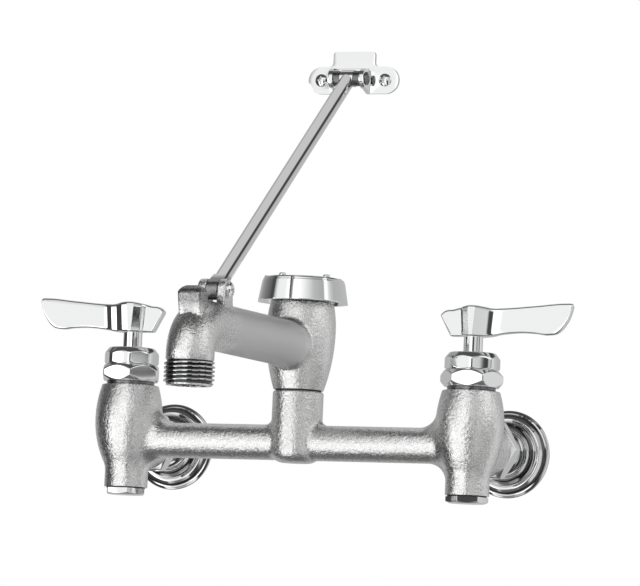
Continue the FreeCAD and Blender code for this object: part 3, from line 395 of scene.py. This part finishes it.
def built(name, parts, material, body, slot, *stands_for):
    """One smooth object from (points, faces) pairs; rides on a body and may hide CAD nodes."""
    points, faces, count = [], [], 0
    for some_points, some_faces in parts:
        points.append(some_points)
        faces.append(np.asarray(some_faces) + count)
        count += len(some_points)
    mesh = bpy.data.meshes.new(name)
    mesh.from_pydata(np.concatenate(points).tolist(), [], np.concatenate(faces).tolist())
    work = bmesh.new()
    work.from_mesh(mesh)
    bmesh.ops.remove_doubles(work, verts=work.verts, dist=2e-7)
    work.to_mesh(mesh)
    work.free()
    mesh.polygons.foreach_set("use_smooth", np.ones(len(mesh.polygons), bool))
    mesh.materials.append(material)
    piece = bpy.data.objects.new(name, mesh)
    bpy.context.scene.collection.objects.link(piece)
    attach(piece, body)
    if stands_for:
        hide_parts(*stands_for)


def nut_outline(across, z0, z1, bore, slope):
    """Outline of a hexagon blank: chamfer cones of a slope in degrees start just inside the flats."""
    reach = across / 2 / math.cos(math.pi / 6) + 0.3
    face = across / 2 * 0.975
    fall = (reach - face) * math.tan(math.radians(slope))
    return [(bore, z0, 0.15), (face, z0, 0.25), (reach, z0 + fall, 0),
            (reach, z1 - fall, 0), (face, z1, 0.25), (bore, z1, 0.15)]


def shine(tree, s, smooth, rough, scale, detail=2.0, roughness=0.5, high=0.7):
    """Roughness that wanders between two values over noise."""
    wander = mapped(tree, noise(tree, scale, detail, roughness), 0.3, high, smooth, rough)
    tree.links.new(wander, s.inputs["Roughness"])


chrome = (0.86, 0.865, 0.87)
polished, tree, s, bump = plated("polished_chrome", chrome, 0.05)
relief(tree, bump, noise(tree, 90, 1.0, 0.4), 0.0001, 0.3)
shine(tree, s, 0.03, 0.08, 260, 3.0, 0.6, high=0.75)

turned_brass, tree, s, bump = plated("turned_brass", (0.72, 0.52, 0.24), 0.25)
relief(tree, bump, noise(tree, 900), 0.00005)

black_rubber, tree, s = shader("black_rubber", "ShaderNodeBsdfPrincipled")
s.inputs["Base Color"].default_value = (0.02, 0.02, 0.02, 1)
shine(tree, s, 0.6, 0.8, 700)

inlet_x = 101.6


def groove_shaded_chrome(name, x):
    """Polished chrome about a flange's axis, with painted shade: dark rings in the base colour over the
    pressed grooves.
    """
    m, tree, s, bump = plated(name, chrome, 0.05)
    axes = own_axes(tree)
    side = math_node(tree, "SUBTRACT", axes["X"], x / 1000)
    square = math_node(tree, "ADD", math_node(tree, "MULTIPLY", side, side),
                       math_node(tree, "MULTIPLY", axes["Z"], axes["Z"]))
    ring_edge_wobble = math_node(tree, "MULTIPLY", math_node(tree, "SUBTRACT", noise(tree, 160), 0.5), 0.0009)
    from_axis = math_node(tree, "ADD", math_node(tree, "SQRT", square), ring_edge_wobble)
    bore, rim = 0.013, 0.025
    # painted shade: the ramp darkens the base colour in rings over the grooves, their edges wobbled by noise
    rings = ramp(tree, mapped(tree, from_axis, bore, rim, 0, 1), [
        (0.0, 0.30), (0.16, 0.86), (0.20, 0.12), (0.33, 0.20), (0.37, 0.86), (0.44, 0.40), (0.50, 0.86),
        (0.66, 0.80), (0.70, 0.10), (0.77, 0.14), (0.80, 0.86), (0.86, 0.40), (0.91, 0.80), (1.0, 0.60)])
    tree.links.new(rings, s.inputs["Base Color"])
    relief(tree, bump, noise(tree, 90, 1.0, 0.4), 0.0001, 0.3)
    return m


coupling_across, coupling_length, coupling_turn, coupling_y = 31.0, 9.0, 30, -38.2
spigot_bore, shank_bore = 10.75, 13.15
coupling_nut = nut_outline(coupling_across, 0, coupling_length, spigot_bore, 30)[:-1]
coupling_nut += [(shank_bore, coupling_length, 0.15), (shank_bore, 1.9, 0), (spigot_bore, 1.9, 0)]
angle = around_flats(6, coupling_turn)
flats = flat_limit(angle, 6, coupling_turn, coupling_across, 0.12)
coupling_nut = carried_round(softened(coupling_nut), angle, flats)
flange = [(13.22, -8.7, 0.1), (13.22, -9.6, 0.3), (14.3, -9.55, 0.4), (15.4, -8.7, 0.5), (15.65, -7.2, 0.2),
          (17.35, -6.45, 0.3), (17.75, -4.75, 0.2), (19.6, -4.5, 1.6), (21.7, -3.2, 0.9), (22.0, -1.7, 0.2),
          (23.0, -1.35, 0.5), (24.45, -0.6, 0.5), (24.45, 0.0, 0.1), (23.4, 0.0, 0.1), (23.2, -0.4, 0.3),
          (17.0, -5.4, 0.4), (14.1, -8.7, 0.2)]
flange = carried_round(softened(flange, 0.3), full_turn(160))
nut_faces = net(*coupling_nut.shape[:2], True)
for side, x in (("hot", -inlet_x), ("cold", inlet_x)):
    built("coupling_hexagon_" + side, [(lying(coupling_nut, x, coupling_y), nut_faces)],
          polished, "root", "polished_chrome", "coupling_nut_" + side)
    built("ringed_escutcheon_" + side, [(lying(flange, x, 0), net(*flange.shape[:2], True))],
          groove_shaded_chrome("groove_shaded_chrome_" + side, x), "root", "polished_chrome", "wall_flange_" + side)
    dress(polished, "inlet_shank_" + side, "retaining_clip_" + side)
    dress(black_rubber, "coupling_washer_" + side)


# ---- cartridges ------------------------------------------------------------------
# Each valve closes with two lapped ceramic discs in a turned brass cartridge, sealed by
# black rubber rings; none of it shows until the faucet is taken apart.
fired_ceramic, tree, s = shader("fired_ceramic", "ShaderNodeBsdfPrincipled")
s.inputs["Base Color"].default_value = (0.8, 0.8, 0.77, 1)
shine(tree, s, 0.25, 0.4, 500)
for side in ("hot", "cold"):
    dress(turned_brass, "cartridge_body_" + side)
    dress(fired_ceramic, "fixed_disc_" + side, "moving_disc_" + side)
    dress(black_rubber, "seat_seal_" + side, "stem_seal_" + side, "packing_ring_" + side)


# ---- bonnets and packing nuts ------------------------------------------------------
# Each bonnet is a polished hexagon turned from brass bar, chamfered so far that its
# flats look oval; the eight-sided packing nut above it has a rounded crown.
valve_y = -64.0
bonnet_across, bonnet_foot, bonnet_top, neck_r, stem_bore = 30.4, 32.2, 41.4, 12.8, 5.5
bonnet = nut_outline(bonnet_across, bonnet_foot, bonnet_top, 10.8, 48)[1:-1]
bonnet = softened([(11.36, 22.3, 0), (neck_r, 22.3, 0), (neck_r, bonnet_foot, 0)] + bonnet +
                  [(10.8, bonnet_top, 0), (10.8, 46.2, 0.3), (stem_bore, 46.2, 0), (stem_bore, 34.05, 0),
                   (11.36, 34.05, 0)])

# painted shade: near-black steel for pieces that stand where shade falls
painted_shade_steel, tree, s, bump = plated("painted_shade_steel", (0.22, 0.22, 0.23), 0.3)
relief(tree, bump, noise(tree, 1100, 2.0, 0.6), 0.00005)
shine(tree, s, 0.22, 0.36, 700, 2.0, 0.6)
# painted shade: a dark ring just outside each bonnet's neck, under the hexagon
neck = [(12.9, 30.4, 0.1), (13.3, 30.8, 0.1), (13.3, 32.15, 0.1), (12.9, 32.15, 0.1)]
neck = carried_round(softened(neck, 0.2), full_turn(96))

packing_across, packing_turn = 28.8, -4.5
packing = softened([(10.85, 41.45, 0), (14.1, 41.45, 0.2), (15.25, 42.6, 0.8), (15.25, 47.9, 2.2),
                    (12.6, 51.2, 1.4), (5.45, 51.2, 0.2), (5.45, 48.7, 0), (10.85, 48.7, 0)])
angle = around_flats(8, packing_turn)
packing = carried_round(packing, angle, flat_limit(angle, 8, packing_turn, packing_across, 0.15), 90)
for side, x, turned_by in (("hot", -inlet_x, 21.0), ("cold", inlet_x, 40.4)):
    angle = around_flats(6, turned_by)
    hexagon = carried_round(bonnet, angle, flat_limit(angle, 6, turned_by, bonnet_across, 0.10))
    built("bonnet_hexagon_" + side, [(standing(hexagon, x, valve_y), net(*hexagon.shape[:2], True))],
          polished, "root", "polished_chrome", "bonnet_" + side)
    built("crowned_nut_" + side, [(standing(packing, x, valve_y), net(*packing.shape[:2], True))],
          polished, "root", "polished_chrome", "packing_nut_" + side)
    built("neck_shade_ring_" + side, [(standing(neck, x, valve_y), net(*neck.shape[:2], True))],
          painted_shade_steel, "root", "polished_chrome")
    dress(polished, "valve_stem_" + side)


# ---- lever handles -----------------------------------------------------------------
# Each lever is one polished zinc casting: a thin blade that rises to its tip, a hub cut
# into leaning facets, and a short spread tail behind a hollow.
def smooth_through(x, table):
    """A smooth curve through (x, value) pairs: cubic between neighbours, with each slope
    taken from the points on both sides."""
    known, value = np.array(table, float).T
    slope = np.gradient(value, known)
    i = np.clip(np.searchsorted(known, x) - 1, 0, len(known) - 2)
    gap = known[i + 1] - known[i]
    t = np.clip((x - known[i]) / gap, 0, 1)
    return ((1 + 2 * t) * (1 - t) ** 2 * value[i] + t * (1 - t) ** 2 * gap * slope[i]
            + t * t * (3 - 2 * t) * value[i + 1] - t * t * (1 - t) * gap * slope[i + 1])


def blended(a, b, reach):
    """The larger of two lengths, rounded over about reach."""
    return (a + b) / 2 + np.sqrt((a - b) ** 2 + reach * reach) / 2


def stepped(distance, steps):
    """Fall of a faceted flank over a distance, in facets of (length, slope in degrees)."""
    fall = 0 * distance
    start = 0.0
    for length, slope in steps:
        fall += np.clip(distance - start, 0, length) * math.tan(math.radians(slope))
        start += length
    return fall


tail_end, blade_tip, toe = -19.0, 57.0, -12.8
hub_half, hub_offset, blade_half, tail_half = 7.9, 0.8, 2.5, 2.4
lever_top = [(tail_end, 11.6), (-18.4, 12.4), (-11.0, 14.9), (-5, 16.3), (0.5, 16.9), (6, 16.4), (10.8, 15.6),
             (17.4, 15.8), (36, 17.3), (53.5, 18.75), (55.6, 18.7), (56.6, 18.1), (blade_tip, 16.8)]
lever_foot = [(toe, 0), (-6, 0), (2, 0), (8.5, 0.05), (18, 1.5), (28, 2.3), (36, 2.0), (43.5, 1.3),
              (49.6, 2.9), (52.8, 6.4), (55.4, 11.2), (blade_tip, 16.4)]
tail_facets = [(3.9, 33), (1.6, 55), (50, 4)]
blade_facets = {1: [(3.6, 10), (4.0, 34), (3.6, 6), (50, 32)], -1: [(50, 33)]}
blade_hollow = {1: 0.7, -1: 2.0}
tail_hollow = 0.5


def lever_side(relative_height, sign):
    """Lengthwise place and half width over stations by heights (0 foot, 1 top) of one side:
    a front facet that widens upwards, a leaning facet on each side of it, and hollow blends
    into the blade and the tail.  The two sides' front facets are offset along the lever."""
    half = 1.0 + 1.2 * relative_height
    tail_edge = -sign * hub_offset - half
    blade_edge = -sign * hub_offset + half
    to_hub = np.concatenate([[0, 0.003, 0.01, 0.03], np.linspace(0.07, 0.42, 10), np.linspace(0.44, 0.99, 40),
                             [0.996]])
    off_hub = np.concatenate([[0.0012], np.linspace(0.004, 0.30, 60), np.linspace(0.32, 0.91, 44),
                              np.linspace(0.92, 0.992, 16), [0.996, 0.9985, 1.0]])
    on_hub = [0, 0.04, 0.2, 0.5, 0.8, 0.96, 1]
    x = np.concatenate([tail_end + np.outer(to_hub, tail_edge - tail_end),
                        tail_edge + np.outer(on_hub, blade_edge - tail_edge),
                        blade_edge + np.outer(off_hub, blade_tip - blade_edge)])
    tail_drop = stepped(np.maximum(tail_edge - x, 0), tail_facets)
    blade_drop = stepped(np.maximum(x - blade_edge, 0), blade_facets[sign])
    fin = np.where(x > 0, blade_half - 0.4 * np.clip(x / blade_tip, 0, 1), tail_half)
    reach = np.where(x > 0, blade_hollow[sign], tail_hollow)
    return x, blended(hub_half - tail_drop - blade_drop, fin, reach) - reach ** 2 / 24


def lever(edge_round=1.4):
    """Grid of the lever: rounded upright sections at stations along it, drawn in at both ends."""
    arc = np.linspace(0, np.pi / 2, 6)
    lift = np.concatenate([1 - np.cos(arc), np.ones(8), 1 + np.sin(arc)])
    span = np.concatenate([np.zeros(6), np.arange(1, 9) / 9, np.ones(6)])
    inset = np.concatenate([1 - np.sin(arc), np.zeros(8), 1 - np.cos(arc)])
    sides = []
    for sign in (-1, 1):
        x, half = lever_side((lift + 13 * span) / 15, sign)
        low = np.where(x < toe, (toe - x) * 11.0 / 6.1, smooth_through(x, lever_foot))
        high = smooth_through(x, lever_top)
        low = np.minimum(low, high - 0.25)
        edge = np.minimum(edge_round, (high - low) * 0.48)
        z = low + edge * lift + (high - low - 2 * edge) * span
        end = np.minimum(x - tail_end, blade_tip - x)
        half = half * (1 - 0.45 * np.clip(1 - end / 0.8, 0, 1) ** 2) - edge * inset
        sides.append(np.stack([x, sign * half, z], -1))
    near, far = sides
    step = np.linspace(0, 1, 9)[1:-1][None, :, None]
    top = near[:, -1:] * (1 - step) + far[:, -1:] * step
    foot = far[:, :1] * (1 - step) + near[:, :1] * step
    return np.concatenate([near, top, far[:, ::-1], foot], 1)


def closed_ends(grid):
    """The grid with a ring drawn in to the section's middle added at each end."""
    middles = [np.repeat(end.mean(1, keepdims=True), grid.shape[1], 1) for end in (grid[:1], grid[-1:])]
    return np.concatenate([middles[0], grid, middles[1]])


def marker_plastic(name, color):
    """Moulded glossy plastic in one colour, a little uneven in its shine."""
    m, tree, s = shader(name, "ShaderNodeBsdfPrincipled")
    s.inputs["Base Color"].default_value = (*color, 1)
    shine(tree, s, 0.18, 0.3, 600)
    return m


lever_grid = closed_ends(lever())
lever_faces = net(*lever_grid.shape[:2], False)[:, ::-1]
lever_z, marker_r, marker_foot, marker_top = 60.0, 4.6, 75.0, 77.05
crown = np.linspace(marker_r, 0, 12)[:, None]
crown = np.hstack([crown, marker_top - 0.75 * (crown / marker_r) ** 2])
marker = np.concatenate([[(0, marker_foot), (marker_r, marker_foot), (marker_r, marker_foot + 1)], crown])
marker = carried_round(marker, full_turn(64))
for side, x, way, tint, color in (("hot", -inlet_x, -1, "red", (0.60, 0.02, 0.02)),
                                  ("cold", inlet_x, 1, "blue", (0.02, 0.08, 0.45))):
    built("lever_" + side, [(standing(lever_grid * (way, way, 1), x, valve_y, lever_z), lever_faces)],
          polished, side + "_valve", "polished_chrome", "lever_handle_" + side)
    built("index_dome_" + side, [(standing(marker, x, valve_y), net(*marker.shape[:2], False))],
          marker_plastic("marker_" + side, color), side + "_valve", tint + "_plastic", "index_button_" + side)
    dress(polished, "handle_screw_" + side)


# ---- bottom plugs ----------------------------------------------------------------
# A flat hexagon plug with a hollow thread closes the core hole under each valve body and
# bears on a thin black gasket.
def from_axis(corners, step=0.4):
    """Softened outline that starts and ends on the axis; its first and last corners lie there."""
    points = softened(corners, step)
    return points[:np.nonzero(points[:, 0] < 1e-6)[0][1] + 1]


plug_across, plug_thread_r, plug_hollow_r = 20.4, 8.75, 6.4
plug_foot, plug_seat, plug_end = -31.1, -27.5, -20.3
plug = from_axis([(0, plug_foot, 0), (9.7, plug_foot, 0.3), (12.2, plug_foot + 1.2, 0), (12.2, plug_seat, 0.2),
                  (plug_thread_r, plug_seat, 0), (plug_thread_r, plug_end, 0), (plug_hollow_r, plug_end, 0),
                  (plug_hollow_r, plug_seat + 0.1, 0), (0, plug_seat + 0.1, 0)])
for side, x, turned_by in (("hot", -inlet_x, 27.5), ("cold", inlet_x, 52.0)):
    angle = around_flats(6, turned_by)
    grid = carried_round(plug, angle, flat_limit(angle, 6, turned_by, plug_across, 0.08))
    built("core_plug_" + side, [(standing(grid, x, valve_y), net(*grid.shape[:2], False))],
          polished, "root", "polished_chrome", "bottom_plug_" + side)
    dress(black_rubber, "plug_gasket_" + side)


# ---- spout -------------------------------------------------------------------------
# The second casting: breaker barrel, arm, elbow with its pail hook, brace ears and the
# outlet, on which a garden-hose thread is cut.  The arm is linished smoother.
def merged_copy(node):
    """A copy of a CAD node's mesh with its doubled points joined."""
    work = bmesh.new()
    work.from_mesh(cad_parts[node].data)
    bmesh.ops.remove_doubles(work, verts=work.verts, dist=1e-6)
    return work


def finished(work, name, material, body, slot, *stands_for):
    """The edited copy as an object; facets over 30 degrees apart keep a crisp edge."""
    mesh = bpy.data.meshes.new(name)
    work.to_mesh(mesh)
    work.free()
    mesh.polygons.foreach_set("use_smooth", np.ones(len(mesh.polygons), bool))
    mesh.set_sharp_from_angle(angle=math.radians(30))
    mesh.materials.clear()
    mesh.materials.append(material)
    piece = bpy.data.objects.new(name, mesh)
    bpy.context.scene.collection.objects.link(piece)
    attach(piece, body)
    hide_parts(*stands_for)


outlet_y = -216.4
spout_chrome, tree, s, bump = plated("linished_cast_chrome", (0.9, 0.9, 0.9), 0.3)
axes = own_axes(tree)
on_arm = math_node(tree, "MULTIPLY", mapped(tree, axes["Y"], -0.182, -0.172, 0, 1),
                   mapped(tree, axes["Y"], -0.090, -0.082, 1, 0))
on_hook = math_node(tree, "MULTIPLY", mapped(tree, axes["Z"], 0.060, 0.064, 0, 1),
                    mapped(tree, axes["Y"], -0.200, -0.196, 1, 0))
# painted shade: a near-black base colour on the casting's root between the thread turns
thread_root_shade = math_node(tree, "MULTIPLY", mapped(tree, axes["Z"], 0.0326, 0.0329, 1, 0),
                      mapped(tree, axes["Z"], 0.0202, 0.0204, 0, 1))
thread_root_shade = math_node(tree, "MULTIPLY", thread_root_shade, mapped(tree, axes["Y"], -0.200, -0.199, 1, 0))
g = placed(tree, cast_grain, Grain=math_node(tree, "SUBTRACT", 1.0, math_node(tree, "MULTIPLY", on_arm, 0.9)))
relief(tree, bump, g.outputs["Height"], grain_depth, grain_strength)
satin = math_node(tree, "ADD", g.outputs["Roughness"], math_node(tree, "MULTIPLY", on_arm, 0.25))
tree.links.new(satin, s.inputs["Roughness"])
paint = blend(tree, math_node(tree, "MULTIPLY", on_arm, 0.85), g.outputs["Color"], 0.78)
# painted shade: a darker, speckled base colour on the hook's front
hook_painted_shade = mapped(tree, noise(tree, 1100, 2.0, 0.6), 0.35, 0.65, 0.16, 0.44)
paint = blend(tree, math_node(tree, "MULTIPLY", on_hook, 0.9), paint, hook_painted_shade)
tree.links.new(blend(tree, thread_root_shade, paint, 0.09), s.inputs["Base Color"])

outside = (0.01215, 0.0136)
threaded = (0.0194, 0.03275)
root_r = 0.0120
work = merged_copy("spout_casting")
for v in work.verts:
    out_from_axis = math.hypot(v.co.x, v.co.y - outlet_y / 1000)
    if outside[0] < out_from_axis < outside[1] and threaded[0] < v.co.z < threaded[1]:
        v.co.x *= root_r / out_from_axis
        v.co.y = outlet_y / 1000 + (v.co.y - outlet_y / 1000) * root_r / out_from_axis
finished(work, "spout_body", spout_chrome, "root", "rough_chrome", "spout_casting")

# partly a smoother machined finish, partly painted shade: the thread's base colour is darker than the other
# chrome
machined, tree, s, bump = plated("machined_chrome", (0.58, 0.585, 0.59), 0.05)
relief(tree, bump, noise(tree, 1500, 2.0, 0.6), 0.00004, 0.4)
shine(tree, s, 0.03, 0.07, 900, 2.0, 0.6)


def hose_thread(turns=5.15, pitch=2.21, root=11.9, crest=13.45, foot=20.55):
    """Helix: z = foot + pitch t over turns t, with a rounded trapezoid section whose crest
    fades in and out over the first and last eighth of a turn."""
    t = np.linspace(0, turns, int(turns * 72) + 1)[:, None]
    fade = np.clip(np.minimum(t, turns - t) / 0.125, 0.04, 1)
    rise = np.array([-1.04, -0.46, -0.41, -0.34, 0, 0.34, 0.41, 0.46, 1.04, 0.6, 0.0, -0.6])[None, :]
    reach = np.array([0.0, 0.88, 0.965, 1.0, 1.0, 1.0, 0.965, 0.88, 0.0, -0.12, -0.15, -0.12])[None, :]
    r = root + (crest - root) * reach * fade
    a = 2 * np.pi * t
    return np.stack([r * np.cos(a), r * np.sin(a), foot + pitch * t + rise], -1)


thread = closed_ends(hose_thread())
built("hose_thread", [(standing(thread, 0, outlet_y), net(*thread.shape[:2], False)[:, ::-1])],
      machined, "root", "rough_chrome")
dress(turned_brass, "riser_tube", "vent_insert")
dress(black_rubber, "spout_joint_seal", "float_gasket")

white_acetal, tree, s = shader("white_acetal", "ShaderNodeBsdfPrincipled")
s.inputs["Base Color"].default_value = (0.85, 0.85, 0.82, 1)
shine(tree, s, 0.35, 0.5, 500)
dress(white_acetal, "float_poppet")


# ---- breaker cap ---------------------------------------------------------------------
# A polished cap with five bowed, leaning faces over the air holes; five small cast nubs
# stand on its crown beside the corners.
cap_corner = -108.0
face_r, face_back = 37.3, 12.9
cap_foot, cap_top, cap_shoulder, cap_lean = 77.6, 91.2, 1.5, 0.095


def cap_reach(angle, crisp=110.0):
    """Distance from the axis to the cap's outline at its foot: each face is an arc of radius R
    about a centre b behind the axis, r = -b cos a + sqrt(R^2 - (b sin a)^2)."""
    away = angle[:, None] - np.radians(cap_corner + 36.0) - 2 * np.pi / 5 * np.arange(5)[None, :]
    away = (away + np.pi) % (2 * np.pi) - np.pi
    face = -face_back * np.cos(away) + np.sqrt(face_r ** 2 - (face_back * np.sin(away)) ** 2)
    face = np.where(np.abs(away) < 1.4, face, 60.0)
    return ((face / 25) ** -crisp).sum(1) ** (-1 / crisp) * 25


def cap_shell():
    """Grid of the cap from the middle of its crown over the outside and up into the hollow."""
    angle = around_flats(5, cap_corner + 36.0, 40)
    reach = cap_reach(angle)[None, :]
    crown = reach * 0.905 - cap_shoulder
    rows = [(crown * f, cap_top + 0.25 * (1 - f * f)) for f in np.linspace(0, 1, 16)]
    for t in np.linspace(0, np.pi / 2, 9)[1:]:
        inward, fall = cap_shoulder * (1 - math.sin(t)), cap_shoulder * (1 - math.cos(t))
        rows.append((reach * 0.906 - inward, cap_top - fall))
    for z in np.linspace(89.6, 78.0, 24)[1:]:
        rows.append((reach * (1 - cap_lean * (z - cap_foot) / (cap_top - cap_foot)), z))
    for inward, lift in ((0.1, 0.15), (0.3, 0.02), (0.6, 0), (1.2, 0)):
        rows.append((reach - inward, cap_foot + lift))
    for r, z in ((22.7, cap_foot), (22.5, 77.8), (22.0, 80.0), (20.4, 87.0), (20.0, 88.2), (18.4, 89.0),
                 (9.0, 89.0), (0.0, 89.0)):
        rows.append((0 * reach + r, z))
    r = np.concatenate([row for row, _ in rows])
    z = np.array([z for _, z in rows])[:, None] + 0 * r
    return np.stack([r * np.cos(angle), r * np.sin(angle), z], -1)


nub_r, nub_circle, nub_turn = 1.9, 20.6, 6.0
nub = from_axis([(0, -1.0, 0), (nub_r, -1.0, 0), (nub_r, 1.25, 0.75), (0, 1.35, 0)], 0.2)
nub = carried_round(nub, full_turn(32))
nub_faces = net(*nub.shape[:2], False)
shell = cap_shell()
cap_parts = [(standing(shell, 0, valve_y), net(*shell.shape[:2], False)[:, ::-1])]
for i in range(5):
    a = math.radians(cap_corner + 72.0 * i + nub_turn)
    x, y = nub_circle * math.cos(a), valve_y + nub_circle * math.sin(a)
    cap_parts.append((standing(nub, x, y, cap_top), nub_faces))
built("five_sided_cap", cap_parts, polished, "root", "polished_chrome", "breaker_cap")


# ---- brace ---------------------------------------------------------------------------
# A polished rod with a forged eye, from the spout's ears up to a stamped wall bracket;
# cross-recess screws hold both ends.
def cross_head(radius, side, dome, size=1.0):
    """Grid of a screw head from its middle out: a crown h = side + dome (1 - (r/R)^2) with a
    cross-shaped recess sunk into it, then its side."""
    r = np.concatenate([np.linspace(0, 0.97, 46), [0.985, 0.995, 1.0]])[:, None] * radius
    angle = full_turn(120)[None, :]
    x, y = r * np.cos(angle), r * np.sin(angle)
    across = np.minimum(np.abs(x), np.abs(y))
    along = np.maximum(np.abs(x), np.abs(y))
    slot = np.clip((0.42 * size - across) / 0.22, 0, 1) * np.clip((2.1 * size - along) / 0.5, 0, 1)
    well = np.clip((1.05 * size - r + 0 * x) / 0.4, 0, 1)
    crown = side + dome * (1 - (r / radius) ** 2) - 0.12 * np.clip(r / radius * 20 - 19, 0, 1)
    z = crown + 0 * x - (side + dome * 0.75) * np.maximum(slot, well)
    head = np.stack([x, y, z], -1)
    skirt = [np.stack([radius * np.cos(angle[0]), radius * np.sin(angle[0]), np.full(120, h)], -1)
             for h in (side * 0.75, side * 0.4, 0.0)]
    return np.concatenate([head, np.stack(skirt), np.stack([skirt[-1] * (0.4, 0.4, 1)])])


def shank(radius, length, tip):
    """Grid of a screw's plain shank below the head, drawn in to a point over its last part."""
    outline = [(radius, 0.3), (radius, -length + tip), (radius * 0.5, -length + tip * 0.4), (0.15, -length)]
    return carried_round(np.array(outline), full_turn(40))


def toward(grid, origin, out):
    """Points about an upright axis turned so that +Z looks along a unit vector, in metres."""
    z_axis = np.array(out, float)
    x_axis = np.cross((0, 0, 1.0), z_axis)
    x_axis /= np.linalg.norm(x_axis)
    y_axis = np.cross(z_axis, x_axis)
    return (grid.reshape(-1, 3) @ np.stack([x_axis, y_axis, z_axis]) + origin) / 1000


def screw(head, body, origin, out):
    """Parts of a screw, head and shank, whose head looks along a unit vector from a place in mm."""
    return [(toward(grid, origin, out), net(*grid.shape[:2], False)[:, ::-1])
            for grid in (closed_ends(head), closed_ends(body))]


bracket_screw_x, bracket_screw_z, bracket_face_y = 19.3, 210.5, -2.65
bracket_screws = []
for x in (-bracket_screw_x, bracket_screw_x):
    bracket_screws += screw(cross_head(3.6, 0.7, 1.3), shank(1.9, 14.6, 3.0),
                            (x, bracket_face_y, bracket_screw_z), (0, -1, 0))
built("bracket_cross_screws", bracket_screws, polished, "bracket", "polished_chrome", "bracket_screws")
ear_side, pivot_y, pivot_z = 8.05, -187.3, 72.7
pivot = screw(cross_head(4.2, 1.2, 1.4, 1.15), shank(2.4, 16.4, 0.4), (ear_side, pivot_y, pivot_z), (1, 0, 0))
built("pivot_cross_screw", pivot, polished, "root", "polished_chrome", "pivot_screw")

work = merged_copy("wall_bracket")
edges = [e for e in work.edges if len(e.link_faces) == 2 and e.calc_face_angle() > math.radians(35)]
bmesh.ops.bevel(work, geom=edges, offset=0.00035, segments=3, profile=0.5, affect="EDGES", clamp_overlap=True)
finished(work, "stamped_bracket", polished, "bracket", "polished_chrome", "wall_bracket")
# plain steel pin and spacers, darkened further as painted shade
dress(painted_shade_steel, "bracket_pin", "pin_spacers")

forged_rod, tree, s, bump = plated("forged_rod_chrome", chrome, 0.05)
# painted shade: the eye between the ears gets a dark base colour; its rougher, bumpier surface is the forged
# finish
on_eye = mapped(tree, own_axes(tree)["Z"], 0.0790, 0.0815, 1, 0)
relief(tree, bump, math_node(tree, "MULTIPLY", noise(tree, 900, 2.0, 0.6), on_eye), 0.0003, 0.6)
tree.links.new(mapped(tree, on_eye, 0, 1, 0.05, 0.28), s.inputs["Roughness"])
tree.links.new(blend(tree, on_eye, 0.90, 0.34), s.inputs["Base Color"])
dress(forged_rod, "brace_rod")
